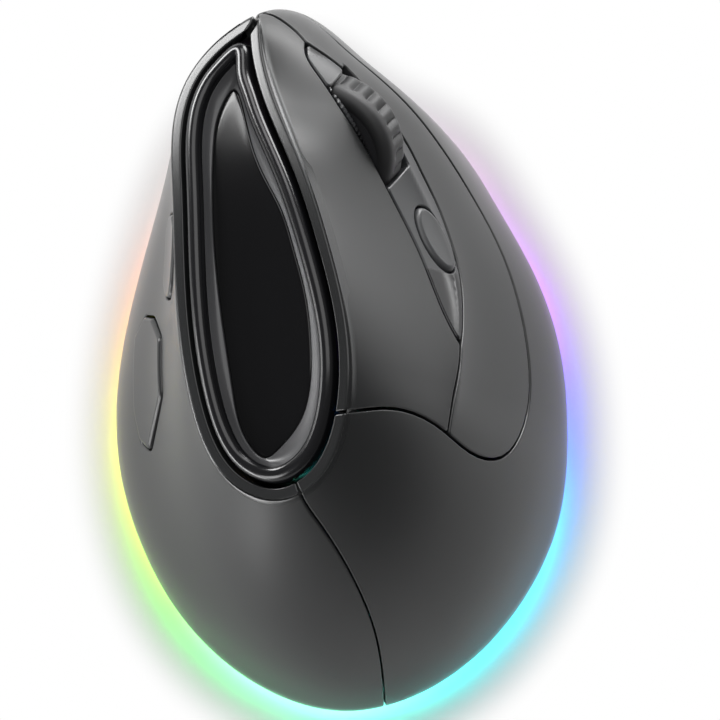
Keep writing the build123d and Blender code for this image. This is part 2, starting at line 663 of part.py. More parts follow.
# Loop on the crown
bead_outer = inset_line(rim_edge, WALL + GROOVE)
bead_inner = inset_line(rim_edge, WALL + GROOVE + BEAD_WIDTH)
with BuildPart() as trim_ring:
    add(crown_slab(bead_outer, -BEAD_RISE, BEAD_SEAT))
    add(crown_slab(bead_inner, -BEAD_RISE - CUT_MARGIN, BEAD_SEAT + CUT_MARGIN), mode=Mode.SUBTRACT)
with BuildPart() as panel_well:
    add(crown_slab(bead_outer, BEAD_SEAT, BEAD_SEAT + WELL_FLOOR))
    add(crown_slab(bead_inner, WELL_WALL_DEPTH, BEAD_SEAT + WELL_FLOOR))
    add(crown_slab(PANEL_LINE, 0, PANEL_DEPTH + PANEL_THICKNESS), mode=Mode.SUBTRACT)
save(trim_ring.part, "trim_ring")
save(panel_well.part, "panel_well")
save(crown_slab(PANEL_LINE, PANEL_DEPTH, PANEL_DEPTH + PANEL_THICKNESS), "centre_panel")

# Hinge rod
with BuildPart() as hinge_rod:
    with BuildSketch(slope_side.offset(ROD_START)):
        with Locations((HINGE_Y, -HINGE_DEPTH)):
            Circle(ROD_RADIUS)
    extrude(amount=ROD_LENGTH)
save(hinge_rod.part, "hinge_rod")

# Scroll wheel
with BuildPart() as wheel_tyre:
    add(wheel_drum(WHEEL_RADIUS, WHEEL_WIDTH))
    add(wheel_drum(WHEEL_RADIUS - TYRE_THICKNESS, WHEEL_WIDTH), mode=Mode.SUBTRACT)
with BuildPart() as wheel_hub:
    add(wheel_drum(WHEEL_RADIUS - TYRE_THICKNESS, WHEEL_WIDTH))
    add(wheel_drum(HUB_COLLAR_RADIUS, HUB_COLLAR_WIDTH))
    add(wheel_drum(AXLE_RADIUS, HUB_COLLAR_WIDTH), mode=Mode.SUBTRACT)
arm_inside = HUB_COLLAR_WIDTH / 2 + ARM_GAP
arm_outside = arm_inside + ARM_THICKNESS
with BuildPart() as wheel_axle:
    with BuildSketch(wheel_side.offset(-arm_outside)):
        Circle(AXLE_RADIUS)
    extrude(amount=2 * arm_outside + ENCODER_THICKNESS / 2)
save(wheel_tyre.part, "wheel_tyre")
save(wheel_hub.part, "wheel_hub")
save(wheel_axle.part, "wheel_axle")

# Carrier that the wheel turns in and that slides down to click
with BuildPart() as wheel_carrier:
    with BuildSketch(wheel_top.offset(-CARRIER_FLOOR - CARRIER_THICKNESS)):
        Rectangle(ARM_LENGTH, 2 * arm_outside)
    extrude(amount=CARRIER_THICKNESS)
    for side in (-arm_outside, arm_inside):
        with BuildSketch(wheel_side.offset(side)):
            Circle(ARM_TOP)
            Rectangle(CARRIER_FLOOR + CARRIER_THICKNESS, ARM_LENGTH * 2 / 3, align=(Align.MAX, Align.CENTER))
        extrude(amount=ARM_THICKNESS)
    add(wheel_drum(AXLE_RADIUS + AXLE_CLEARANCE, 2 * arm_outside), mode=Mode.SUBTRACT)
with BuildPart() as wheel_encoder:
    with BuildSketch(wheel_side.offset(arm_outside)):
        Rectangle(ENCODER_SIZE, ENCODER_SIZE)
        Circle(AXLE_RADIUS + AXLE_CLEARANCE, mode=Mode.SUBTRACT)
    extrude(amount=ENCODER_THICKNESS)
save(wheel_carrier.part, "wheel_carrier")
save(wheel_encoder.part, "wheel_encoder")

# Frame: bulkhead, slope plate, rod bearings, right legs and the carrier's cradle
leg_middle = sum(RIGHT_LEG_X) / 2
plate_middle = PLATE_DEPTH + PLATE_THICKNESS / 2
leg_down_slope = (leg_middle - SLOPE_ORIGIN[0] + slope.z_dir.X * plate_middle) / slope.x_dir.X
leg_top = slope.from_local_coords(Vector(leg_down_slope, 0, -plate_middle)).Z
pocket = (ARM_LENGTH + 2 * SLIDE_CLEARANCE, 2 * (arm_outside + SLIDE_CLEARANCE))
with BuildPart() as inner_frame:
    add(block(BULKHEAD_X, BULKHEAD_Y, (BASE_TOP, THROUGH)))
    add(block((BULKHEAD_X[0] - BULKHEAD_FOOT, BULKHEAD_X[1]), BULKHEAD_Y, (BASE_TOP, BASE_TOP + FRAME_FOOT)))
    add(crown_disc(BEAD_SEAT + WELL_FLOOR), mode=Mode.INTERSECT)
    for leg in RIGHT_LEGS:
        add(block(RIGHT_LEG_X, (leg - RIGHT_LEG_WIDTH / 2, leg + RIGHT_LEG_WIDTH / 2), (BASE_TOP, leg_top)))
    with BuildSketch(slope.offset(-PLATE_DEPTH)):
        with BuildLine():
            Polyline(*PLATE_LINE, close=True)
        make_face()
    extrude(amount=-PLATE_THICKNESS)
    for start in BEARINGS:
        with BuildSketch(slope_side.offset(start)):
            with Locations((HINGE_Y, -HINGE_DEPTH)):
                Circle(BEARING_RADIUS)
                Rectangle(2 * BEARING_RADIUS, plate_middle - HINGE_DEPTH, align=(Align.CENTER, Align.MAX))
        extrude(amount=BEARING_WIDTH)
    with BuildSketch(slope_side.offset(ROD_START)):
        with Locations((HINGE_Y, -HINGE_DEPTH)):
            Circle(ROD_RADIUS)
    extrude(amount=ROD_LENGTH, mode=Mode.SUBTRACT)
    with BuildSketch(wheel_board.offset(-CRADLE_WALL)):
        Rectangle(pocket[0] + 2 * CRADLE_WALL, pocket[1] + 2 * CRADLE_WALL)
    extrude(amount=CRADLE_WALL + CRADLE_HEIGHT)
    add(block(BULKHEAD_X, (BULKHEAD_Y[1] - CUT_MARGIN, CRADLE_ARM_END), CRADLE_ARM_Z))
    with BuildSketch(wheel_board):
        Rectangle(*pocket)
    extrude(amount=cradle_floor, mode=Mode.SUBTRACT)
    add(wheel_drum(WHEEL_RADIUS + WHEEL_ROOM, WHEEL_WIDTH + 2 * WHEEL_ROOM), mode=Mode.SUBTRACT)
save(inner_frame.part, "inner_frame")

# Side bracket with its board behind the thumb buttons
with BuildPart() as side_board:
    with BuildSketch(side_board_face):
        with Locations(SIDE_BOARD_AT):
            Rectangle(*SIDE_BOARD_SIZE)
    extrude(amount=-BOARD_THICKNESS)
bracket_face = side_board_face.offset(-BOARD_THICKNESS)
bracket_low = Vector(SIDE_BOARD_AT[0], SIDE_BOARD_AT[1] - SIDE_BOARD_SIZE[1] / 2, -SIDE_LEG_THICKNESS / 2)
leg_foot = bracket_face.from_local_coords(bracket_low)
with BuildPart() as side_bracket:
    with BuildSketch(bracket_face):
        with Locations(SIDE_BOARD_AT):
            Rectangle(*SIDE_BOARD_SIZE)
    extrude(amount=-SIDE_LEG_THICKNESS)
    for leg in SIDE_LEGS:
        leg_y = (leg - SIDE_LEG_WIDTH / 2, leg + SIDE_LEG_WIDTH / 2)
        leg_x = (leg_foot.X - SIDE_LEG_THICKNESS / 2, leg_foot.X + SIDE_LEG_THICKNESS / 2)
        add(block(leg_x, leg_y, (BASE_TOP, leg_foot.Z)))
        add(block((leg_x[0], leg_x[1] + SIDE_FOOT), leg_y, (BASE_TOP, BASE_TOP + FRAME_FOOT)))
save(side_board.part, "side_board")
save(side_bracket.part, "side_bracket")

# Board on the slope plate, clear of the bearings and the strip's posts
with BuildPart() as button_board:
    with BuildSketch(slope.offset(-PLATE_DEPTH)):
        with BuildLine():
            Polyline(*PLATE_LINE, close=True)
        make_face()
        offset(amount=-BOARD_MARGIN)
        with Locations((0, BOARD_START)):
            Rectangle(2 * THROUGH, THROUGH, align=(Align.CENTER, Align.MAX), mode=Mode.SUBTRACT)
        with Locations(*STRIP_POSTS):
            Circle(POST_RADIUS + POST_CLEARANCE, mode=Mode.SUBTRACT)
    extrude(amount=BOARD_THICKNESS)
with BuildPart() as ribbon_cable:
    with BuildSketch(Plane.XZ.offset(-RIBBON_WIDTH / 2)):
        with BuildLine():
            Polyline(*RIBBON_LINE)
        trace(line_width=RIBBON_THICKNESS)
    extrude(amount=RIBBON_WIDTH)
save(button_board.part, "button_board")
save(ribbon_cable.part, "ribbon_cable")

# Main board, its chips and the charging socket
with BuildPart() as main_board:
    add(block(MAIN_BOARD_X, MAIN_BOARD_Y, (MAIN_BOARD_BOTTOM, board_top)))
    tongue_y = (MAIN_BOARD_Y[1] - CUT_MARGIN, socket_front - SOCKET_OVERHANG)
    add(block(SOCKET_TONGUE_X, tongue_y, (MAIN_BOARD_BOTTOM, board_top)))
    with Locations((SENSOR_AT[0], SENSOR_AT[1], board_top)):
        Hole(LENS_RADIUS)
    with Locations(*[(x, y, board_top) for x, y in BOARD_STUDS]):
        Hole(SCREW_RADIUS)
with BuildPart() as sensor:
    with Locations((SENSOR_AT[0], SENSOR_AT[1], board_top + SENSOR_SIZE[2] / 2)):
        Box(*SENSOR_SIZE)
with BuildPart() as sensor_lens:
    with Locations((SENSOR_AT[0], SENSOR_AT[1], BASE_TOP)):
        Box(*LENS_SIZE, MAIN_BOARD_BOTTOM - BASE_TOP, align=(Align.CENTER, Align.CENTER, Align.MIN))
        Cylinder(LENS_RADIUS - CAP_CLEARANCE, BASE_TOP - WINDOW_BOTTOM,
                 align=(Align.CENTER, Align.CENTER, Align.MAX))
with BuildPart() as processor:
    with Locations((PROCESSOR_AT[0], PROCESSOR_AT[1], board_top + PROCESSOR_SIZE[2] / 2)):
        Box(*PROCESSOR_SIZE)
with BuildPart() as usb_socket:
    with BuildSketch(Plane.XZ.offset(-socket_front)):
        with Locations((SOCKET_X, socket_z)):
            SlotOverall(SOCKET_SIZE[0], SOCKET_SIZE[2])
    extrude(amount=SOCKET_SIZE[1])
    with BuildSketch(Plane.XZ.offset(-socket_front)):
        with Locations((SOCKET_X, socket_z)):
            SlotOverall(SOCKET_SIZE[0] - 2 * SOCKET_WALL, SOCKET_SIZE[2] - 2 * SOCKET_WALL)
    extrude(amount=SOCKET_DEPTH, mode=Mode.SUBTRACT)
    with Locations((SOCKET_X, socket_front - SOCKET_DEPTH, socket_z)):
        Box(*SOCKET_TONGUE, align=(Align.CENTER, Align.MIN, Align.CENTER))
save(main_board.part, "main_board")
save(sensor.part, "sensor")
save(sensor_lens.part, "sensor_lens")
save(processor.part, "processor")
save(usb_socket.part, "usb_socket")

# Screws: identical ones share a node
with BuildPart() as board_screws:
    for place in BOARD_STUDS:
        with Locations((*place, board_top)):
            Cylinder(SCREW_HEAD_RADIUS, SCREW_HEAD, align=(Align.CENTER, Align.CENTER, Align.MIN))
            Cylinder(SCREW_RADIUS, board_top - BASE_TOP, align=(Align.CENTER, Align.CENTER, Align.MAX))
boss_places = [inside(foot_edge, turn, BOSS_INSET) for turn in PALM_BOSSES + THUMB_BOSSES]
head_bottom = BASE_BOTTOM + SCREW_SINK
with BuildPart() as base_screws:
    for place in boss_places:
        with Locations((*place, head_bottom)):
            Cylinder(SCREW_HEAD_RADIUS, SCREW_HEAD, align=(Align.CENTER, Align.CENTER, Align.MIN))
            Cylinder(SCREW_RADIUS, SCREW_LENGTH, align=(Align.CENTER, Align.CENTER, Align.MIN))
save(board_screws.part, "board_screws")
save(base_screws.part, "base_screws")

# Battery
with BuildPart() as battery:
    with Locations((0, BATTERY_Y, BASE_TOP + BATTERY_SIZE[2] / 2)):
        Box(*BATTERY_SIZE)
        fillet(battery.edges().filter_by(Axis.X), BATTERY_SIZE[2] / 4)
save(battery.part, "battery")

# Power switch: its body under the board and the knob that slides rearwards in the base's slot
knob_top = MAIN_BOARD_BOTTOM - POWER_BODY[2] - KNOB_CLEARANCE
knob_flange = (KNOB_SIZE[0] + 2 * KNOB_FLANGE, KNOB_SIZE[1] + 2 * KNOB_FLANGE)
with BuildPart() as power_switch:
    with Locations((POWER_AT[0], POWER_AT[1] - POWER_TRAVEL / 2, MAIN_BOARD_BOTTOM)):
        Box(*POWER_BODY, align=(Align.CENTER, Align.CENTER, Align.MAX))
with BuildPart() as power_slider:
    with Locations((*POWER_AT, knob_top)):
        Box(*knob_flange, KNOB_FLANGE_THICKNESS, align=(Align.CENTER, Align.CENTER, Align.MAX))
        Box(*KNOB_SIZE, knob_top - WINDOW_BOTTOM, align=(Align.CENTER, Align.CENTER, Align.MAX))
save(power_switch.part, "power_switch")
save(power_slider.part, "power_slider")

# Base plate with its studs, its window and the recesses in its underside
with BuildPart() as base_plate:
    add(foot_slab(BASE_INSET, BASE_BOTTOM, BASE_TOP))
    with Locations(*[(x, y, BASE_TOP) for x, y in BOARD_STUDS]):
        Cylinder(STUD_RADIUS, MAIN_BOARD_BOTTOM - BASE_TOP, align=(Align.CENTER, Align.CENTER, Align.MIN))
        Hole(SCREW_RADIUS, MAIN_BOARD_BOTTOM - BASE_TOP)
    with Locations((*SENSOR_AT, BASE_TOP)):
        Hole(LENS_RADIUS)
    with Locations((POWER_AT[0], POWER_AT[1] - POWER_TRAVEL / 2, BASE_BOTTOM)):
        Box(KNOB_SIZE[0] + 2 * KNOB_CLEARANCE, KNOB_SIZE[1] + POWER_TRAVEL + 2 * KNOB_CLEARANCE,
            BASE_TOP - BASE_BOTTOM, align=(Align.CENTER, Align.CENTER, Align.MIN), mode=Mode.SUBTRACT)
    for x, y in boss_places:
        with Locations((x, y, BASE_BOTTOM)):
            Cylinder(SCREW_HEAD_RADIUS + CAP_CLEARANCE, SCREW_SINK + SCREW_HEAD,
                     align=(Align.CENTER, Align.CENTER, Align.MIN), mode=Mode.SUBTRACT)
            Cylinder(SCREW_RADIUS + CAP_CLEARANCE, BASE_TOP - BASE_BOTTOM,
                     align=(Align.CENTER, Align.CENTER, Align.MIN), mode=Mode.SUBTRACT)
    for x, y, angle in GLIDES.values():
        with BuildSketch(Plane.XY.offset(BASE_BOTTOM)):
            with Locations((x, y)):
                SlotOverall(GLIDE_LENGTH, GLIDE_WIDTH, rotation=angle)
        extrude(amount=GLIDE_THICKNESS - BASE_BOTTOM, mode=Mode.SUBTRACT)
save(base_plate.part, "base_plate")
for name, (x, y, angle) in GLIDES.items():
    with BuildPart() as glide:
        with BuildSketch():
            with Locations((x, y)):
                SlotOverall(GLIDE_LENGTH, GLIDE_WIDTH, rotation=angle)
        extrude(amount=GLIDE_THICKNESS)
    save(glide.part, name)

# Light ring round the base, its lamps and their board
led_inset = BASE_INSET + LED_BOARD_GAP
with BuildPart() as light_ring:
    add(foot_slab(RING_INSET, RING_BOTTOM, RING_TOP))
    add(foot_slab(BASE_INSET, RING_BOTTOM, RING_TOP), mode=Mode.SUBTRACT)
with BuildPart() as ring_board:
    add(foot_slab(led_inset, BASE_TOP, BASE_TOP + LED_BOARD_THICKNESS))
    add(foot_slab(led_inset + LED_BOARD_WIDTH, BASE_TOP, BASE_TOP + LED_BOARD_THICKNESS), mode=Mode.SUBTRACT)
with BuildPart() as ring_leds:
    for number in range(LED_COUNT):
        turn = (number + 0.5) / LED_COUNT
        x, y = inside(foot_edge, turn, led_inset + LED_BOARD_WIDTH / 2)
        way = foot_edge % turn
        with Locations(Plane(origin=(x, y, BASE_TOP + LED_BOARD_THICKNESS), x_dir=way, z_dir=(0, 0, 1))):
            Box(LED_SIZE, LED_SIZE, LED_HEIGHT, align=(Align.CENTER, Align.CENTER, Align.MIN))
save(light_ring.part, "light_ring")
save(ring_board.part, "ring_board")
save(ring_leds.part, "ring_leds")
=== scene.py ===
import bpy
import numpy as np
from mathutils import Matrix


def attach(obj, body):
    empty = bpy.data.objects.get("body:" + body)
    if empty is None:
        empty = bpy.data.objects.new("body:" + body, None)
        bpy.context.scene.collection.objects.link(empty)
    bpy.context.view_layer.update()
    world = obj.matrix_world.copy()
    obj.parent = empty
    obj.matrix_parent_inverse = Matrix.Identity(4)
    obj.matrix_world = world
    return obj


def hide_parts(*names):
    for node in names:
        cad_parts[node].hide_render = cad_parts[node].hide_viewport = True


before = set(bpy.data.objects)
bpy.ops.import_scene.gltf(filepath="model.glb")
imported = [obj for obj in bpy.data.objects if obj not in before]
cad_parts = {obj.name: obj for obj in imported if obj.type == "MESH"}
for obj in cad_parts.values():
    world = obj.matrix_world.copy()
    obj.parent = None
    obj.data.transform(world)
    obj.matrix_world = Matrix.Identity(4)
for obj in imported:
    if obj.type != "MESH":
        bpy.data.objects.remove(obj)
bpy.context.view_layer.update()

# Body skin: the moulded outer surface that all the shells and buttons are cut from. It rises from a foot
# line on the table side to the rim of the loop on the leaning crown, then turns over a narrow bezel and
# down into the loop's groove. Sizes are in millimetres, +X the finger side, +Y the nose, +Z up.
MM = 0.001
FOOT_LINE = [(-8.4, 59.5), (4.6, 52.7), (19.2, 44.3), (28.5, 31.1), (35.7, 16.9), (39.8, 2.3), (40.7, -10.2),
             (39.1, -25.6), (32.0, -40.7), (18.5, -53.8), (0.0, -59.3), (-16.5, -53.6), (-28.9, -41.6),
             (-36.2, -25.4), (-38.6, -7.7), (-36.5, 12.2), (-31.8, 29.7), (-25.0, 44.8), (-17.2, 53.8)]
RIM_LINE = [(18.6, 52.2), (19.9, 49.0), (21.0, 44.4), (23.6, 37.6), (30.2, 24.0), (34.7, 10.9),
            (37.2, -1.7), (36.3, -13.7), (30.0, -25.0), (20.4, -28.6), (12.0, -24.7), (6.6, -11.7),
            (5.1, 5.8), (4.5, 23.7), (4.2, 36.3), (6.4, 43.3), (10.6, 48.2), (15.6, 51.4)]
LOW_SHARE = [-0.04, 0.12, 0.16, 0.14, 0.12, 0.16, 0.17, 0.10]
HIGH_SHARE = [0.14, 0.46, 0.59, 0.47, 0.45, 0.49, 0.60, 0.58]
THUMB_HOLLOW = [0.0, 0.0, 0.0, 0.0, 0.0, 0.02, 0.15, 0.06]
FOOT_HEIGHT = 3.0
FOOT_TUCK = 1.6
FOOT_LIP = 0.8
TUCK_RISE = 0.14
UPRIGHT_RISE = 0.12
WALL = 2.0
CROWN_ROLL = np.radians(30.0)
CROWN_RADIUS = 160.0
CROWN_HEIGHT = 63.4
CROWN_APEX = 19.3
CROWN_ACROSS = np.array([np.cos(CROWN_ROLL), 0, np.sin(CROWN_ROLL)])
CROWN_OUT = np.array([-np.sin(CROWN_ROLL), 0, np.cos(CROWN_ROLL)])
ALONG = np.array([0.0, 1.0, 0.0])
SPAN_STEPS = 60
TURN_STEP = 0.002


def smooth_curve(points, closed):
    """Curve through flat points, as a function of the share of its length.

    A cubic spline over the chord lengths, with equal slope and bend where two spans meet: the bends solve
    the usual three-term equations, and are zero at the ends of an open curve.
    """
    points = np.array(points, float)
    if closed:
        points = np.vstack([points, points[:1]])
    chords = np.linalg.norm(np.diff(points, axis=0), axis=1)
    slopes = np.diff(points, axis=0) / chords[:, None]
    count = len(points)
    system = np.eye(count)
    turns = np.zeros_like(points)
    for node in range(1, count - 1):
        before, after = chords[node - 1:node + 1]
        system[node, node - 1:node + 2] = before, 2 * (before + after), after
        turns[node] = 6 * (slopes[node] - slopes[node - 1])
    if closed:
        system[0, :2] = 2 * (chords[-1] + chords[0]), chords[0]
        system[0, -2] = chords[-1]
        turns[0] = 6 * (slopes[0] - slopes[-1])
        system[-1, 0] = -1
    bends = np.linalg.solve(system, turns)
    span = np.repeat(np.arange(count - 1), SPAN_STEPS)
    part = np.tile(np.arange(SPAN_STEPS) / SPAN_STEPS, count - 1)[:, None]
    width = chords[span][:, None]
    dense = (points[span] * (1 - part) + points[span + 1] * part
             + width ** 2 / 6 * (bends[span] * ((1 - part) ** 3 - (1 - part))
                                 + bends[span + 1] * (part ** 3 - part)))
    dense = np.vstack([dense, points[-1:]])
    lengths = np.append(0, np.cumsum(np.linalg.norm(np.diff(dense, axis=0), axis=1)))

    def curve(share):
        reach = (np.mod(share, 1) if closed else share) * lengths[-1]
        return np.stack([np.interp(reach, lengths, dense[:, axis]) for axis in (0, 1)], -1)
    return curve


def inside(curve, turn, inset):
    """Points of a clockwise closed curve moved inwards, square to the curve's own direction."""
    way = curve(turn + TURN_STEP) - curve(turn - TURN_STEP)
    way /= np.linalg.norm(way, axis=-1, keepdims=True)
    return curve(turn) + inset * np.stack([way[..., 1], -way[..., 0]], -1)


def around(values, turn):
    """Smooth closed function through values evenly spaced round the body: their Fourier series."""
    waves = np.fft.rfft(values) / len(values)
    waves[1:-1] *= 2
    return sum((wave * np.exp(2j * np.pi * order * turn)).real for order, wave in enumerate(waves))


def crown_point(across, along, drop=0.0):
    """Point on the arched crown: an arc along the body on a leaning plane, less a drop square to it."""
    height = CROWN_HEIGHT - CROWN_RADIUS + np.sqrt(CROWN_RADIUS ** 2 - (along - CROWN_APEX) ** 2) - drop
    return across[..., None] * CROWN_ACROSS + along[..., None] * ALONG + height[..., None] * CROWN_OUT


foot_curve = smooth_curve(FOOT_LINE, True)
rim_curve = smooth_curve(RIM_LINE, True)


def rim_point(turn, inset, drop=0.0):
    """Point of the loop's rim on the crown, moved into the loop."""
    flat = inside(rim_curve, turn, inset)
    return crown_point(flat[..., 0], flat[..., 1], drop)


def skin_point(turn, rise):
    """Point of the skin at a turn round the body and a share of the rise from foot to rim.

    The way in from foot to rim is a cubic in the rise, which passes through 0, the low share at a third,
    the high share at two thirds and 1, less a sine for the thumb's hollow. It starts upright at the foot,
    where the skin is tucked in by a square law.
    """
    low_weight = 13.5 * rise * (rise - 2 / 3) * (rise - 1)
    high_weight = -13.5 * rise * (rise - 1 / 3) * (rise - 1)
    rim_weight = 4.5 * rise * (rise - 1 / 3) * (rise - 2 / 3)
    share = around(LOW_SHARE, turn) * low_weight + around(HIGH_SHARE, turn) * high_weight + rim_weight
    share = share - around(THUMB_HOLLOW, turn) * np.sin(2 * np.pi * rise)
    share = share * (1 - np.exp(-(rise / UPRIGHT_RISE) ** 2))
    tuck = FOOT_TUCK * np.maximum(0, 1 - rise / TUCK_RISE) ** 2
    foot = inside(foot_curve, turn, tuck[..., None])
    rim = rim_point(turn, 0)
    flat = foot + (rim[..., :2] - foot) * share[..., None]
    height = FOOT_HEIGHT + (rim[..., 2] - FOOT_HEIGHT) * rise
    return np.concatenate([flat, height[..., None]], -1)


def corner_rows(start, middle, end, count):
    """Rows of a quadratic curve that leaves the start towards the middle and arrives at the end from it."""
    share = np.linspace(0, 1, count)[:, None, None]
    return (1 - share) ** 2 * start + 2 * share * (1 - share) * middle + share ** 2 * end


# Grid of the skin: rows lead from the turned-in lip at the foot up the side, over the crest, across the
# bezel and down into the groove, and columns lead round the body.
SKIN_TURNS = 640
SKIN_RISES = 124
SIDE_START, SIDE_END = 0.02, 0.986
LIP_RISE, CREST_RISE = 0.014, 0.991
LIP_ROWS, CREST_ROWS, GROOVE_ROWS = 5, 6, 5
BEZEL_START, BEZEL_END = 0.5, 1.7
BEZEL_INSETS = (0.8, 1.15, 1.45)
GROOVE_START = 0.3
GROOVE_DROPS = (1.2, 2.2, 3.2)
turns = np.arange(SKIN_TURNS) / SKIN_TURNS
rises = np.linspace(SIDE_START, SIDE_END, SKIN_RISES)


def skin_row(rise):
    """Row of the skin all round the body at one share of the rise."""
    return skin_point(turns, np.full(SKIN_TURNS, rise))


foot_lip = np.concatenate([inside(foot_curve, turns, FOOT_TUCK + FOOT_LIP),
                           np.full((SKIN_TURNS, 1), FOOT_HEIGHT)], -1)
skin_rows = np.concatenate([
    corner_rows(foot_lip, skin_row(0.0), skin_row(LIP_RISE), LIP_ROWS),
    skin_point(*np.broadcast_arrays(turns[None], rises[:, None])),
    corner_rows(skin_row(CREST_RISE), rim_point(turns, 0), rim_point(turns, BEZEL_START), CREST_ROWS),
    np.stack([rim_point(turns, inset) for inset in BEZEL_INSETS]),
    corner_rows(rim_point(turns, BEZEL_END), rim_point(turns, WALL),
                rim_point(turns, WALL, GROOVE_START), GROOVE_ROWS),
    np.stack([rim_point(turns, WALL, drop) for drop in GROOVE_DROPS])])
bezel_row = LIP_ROWS + SKIN_RISES

# Slope: the two main buttons, the wheel strip and their seams are drawn down and along one leaning plane.
# A shallow hollow on each side of a middle line lets the fingers rest. Its depth is x e^(1 - x), where x is
# the distance from the line over the hollow's reach, and it fades towards the nose, the heel and the rim.
SLOPE_ANGLE = np.radians(50.0)
SLOPE_ORIGIN = np.array([16.6, -0.7, 50.0])
SLOPE_DOWN = np.array([np.cos(SLOPE_ANGLE), 0, -np.sin(SLOPE_ANGLE)])
FINGER_LINE = [(-1.0, -16.4), (5.3, 0.2), (9.0, 14.0), (5.0, 27.0), (-5.0, 39.0), (-17.8, 50.2)]
FINGER_STEPS = 40
FINGER_DEPTH = 0.6
FINGER_REACH = 8.0
FINGER_REAR_FADE = (-17, -7)
FINGER_NOSE_FADE = (38, 50)
FINGER_TILT_FADE = (-0.75, -0.35)
TINY = 1e-9


def surface_normals(rows):
    """Unit normals of a grid whose second way is closed: the way up crossed with the way round."""
    round_way = np.roll(rows, -1, 1) - np.roll(rows, 1, 1)
    up_way = np.gradient(rows, axis=0)
    normals = np.cross(up_way, round_way)
    return normals / np.linalg.norm(normals, axis=-1, keepdims=True)


def distance_to(points, line):
    """Distance from flat points to a chain of straight spans: the least of the distances to each span."""
    best = np.full(points.shape[:-1], np.inf)
    for start, end in zip(line[:-1], line[1:]):
        span = end - start
        share = np.clip((points - start) @ span / max(span @ span, TINY), 0, 1)
        gap = points - start - share[..., None] * span
        best = np.minimum(best, (gap ** 2).sum(-1))
    return np.sqrt(best)


def on_slope(points):
    """Coordinates of points down and along the slope plane."""
    moved = points - SLOPE_ORIGIN
    return np.stack([moved @ SLOPE_DOWN, moved[..., 1]], -1)


def smooth_step(value, low, high):
    """0 below low, 1 above high, with a cubic between."""
    share = np.clip((value - low) / (high - low), 0, 1)
    return share * share * (3 - 2 * share)


skin_normals = surface_normals(skin_rows)
flat_slope = on_slope(skin_rows)
finger_line = smooth_curve(FINGER_LINE, False)(np.linspace(0, 1, FINGER_STEPS))
finger_share = distance_to(flat_slope, finger_line) / FINGER_REACH
finger_fade = smooth_step(flat_slope[..., 1], *FINGER_REAR_FADE)
finger_fade *= smooth_step(skin_normals @ SLOPE_DOWN, *FINGER_TILT_FADE)
finger_fade *= 1 - smooth_step(flat_slope[..., 1], *FINGER_NOSE_FADE)
finger_fade[bezel_row:] = 0
hollow = FINGER_DEPTH * finger_share * np.exp(1 - finger_share) * finger_fade
skin_rows = skin_rows - skin_normals * hollow[..., None]
skin_normals = surface_normals(skin_rows)

# Seams: each shell or button is the part of the skin where a distance field is positive. The field is
# measured from the seams, so its zero line is the piece's edge, which is rolled over and turned inwards.
SEAM = 0.4
NOSE_GAP = 0.9
HEEL_GAP = 0.16
BUTTON_SEAM = [(-36, -15.3), (-24.1, -14.8), (-16.9, -13.5), (-9.0, -13.6), (-3.0, -15.1), (5.0, -17.9),
               (11.0, -18.6), (16.3, -17.5), (21.8, -13.4), (25.9, -7.3), (27.6, 2.0), (27.8, 13.0),
               (26.4, 24.0), (21.5, 33.5), (13.9, 40.2), (6.0, 44.5), (-2.0, 49.0), (-8.0, 54.5), (-12, 63)]
FRONT_SEAM = [(-36, 52.6), (-28.4, 53.8), (-24.5, 54.6), (-21.2, 53.6), (-18.4, 51.2), (-17.8, 50.2)]
STRIP_LEFT = [(-17.8, 50.2), (-19.2, 47.6), (-18.0, 43.8), (-15.1, 38.8), (-9.2, 32.4), (-4.0, 25.9),
              (-0.7, 20.3), (0.9, 16.3), (2.1, 10.8), (3.3, 5.2), (5.3, 0.2)]
STRIP_RIGHT = [(-17.8, 50.2), (-15.6, 49.2), (-12.1, 47.2), (-8.0, 43.5), (-1.5, 39.2), (4.0, 34.9),
               (6.4, 31.8), (9.5, 26.6), (10.8, 20.2), (10.7, 14.1), (8.9, 7.7), (6.6, 2.4), (5.3, 0.2)]
MIDDLE_SEAM = [(5.3, 0.2), (4.2, -2.6), (1.0, -9.1), (-0.8, -15.1), (-1.0, -16.4)]
NOSE_SPLIT = [(-20.0, 60.0), (-16.6, 55.6), (-13.8, 52.9), (-14.4, 50.8), (-16.3, 48.0), (-17.2, 43.3)]
HEEL_SPLIT = [(-8.4, -20.7), (-5.6, -28.9), (-3.3, -31.9), (0.0, -36.3), (3.4, -41.9), (6.0, -47.8),
              (7.3, -53.6), (7.9, -59.1), (8.1, -64.7)]
SEAM_STEPS = 60
FAR = 90.0


def seam_line(points):
    """Finely stepped line through a seam's points."""
    return smooth_curve(points, False)(np.linspace(0, 1, SEAM_STEPS))


def region(points, *chains):
    """Signed distance to a closed outline made of chains, positive inside it, by counting crossings."""
    outline = np.vstack(chains + (chains[0][:1],))
    crossings = np.zeros(points.shape[:-1], int)
    for start, end in zip(outline[:-1], outline[1:]):
        if start[1] != end[1]:
            level = (points[..., 1] >= min(start[1], end[1])) & (points[..., 1] < max(start[1], end[1]))
            reach = start[0] + (points[..., 1] - start[1]) * (end[0] - start[0]) / (end[1] - start[1])
            crossings += level & (points[..., 0] < reach)
    return np.where(crossings % 2 == 1, 1, -1) * distance_to(points, outline)


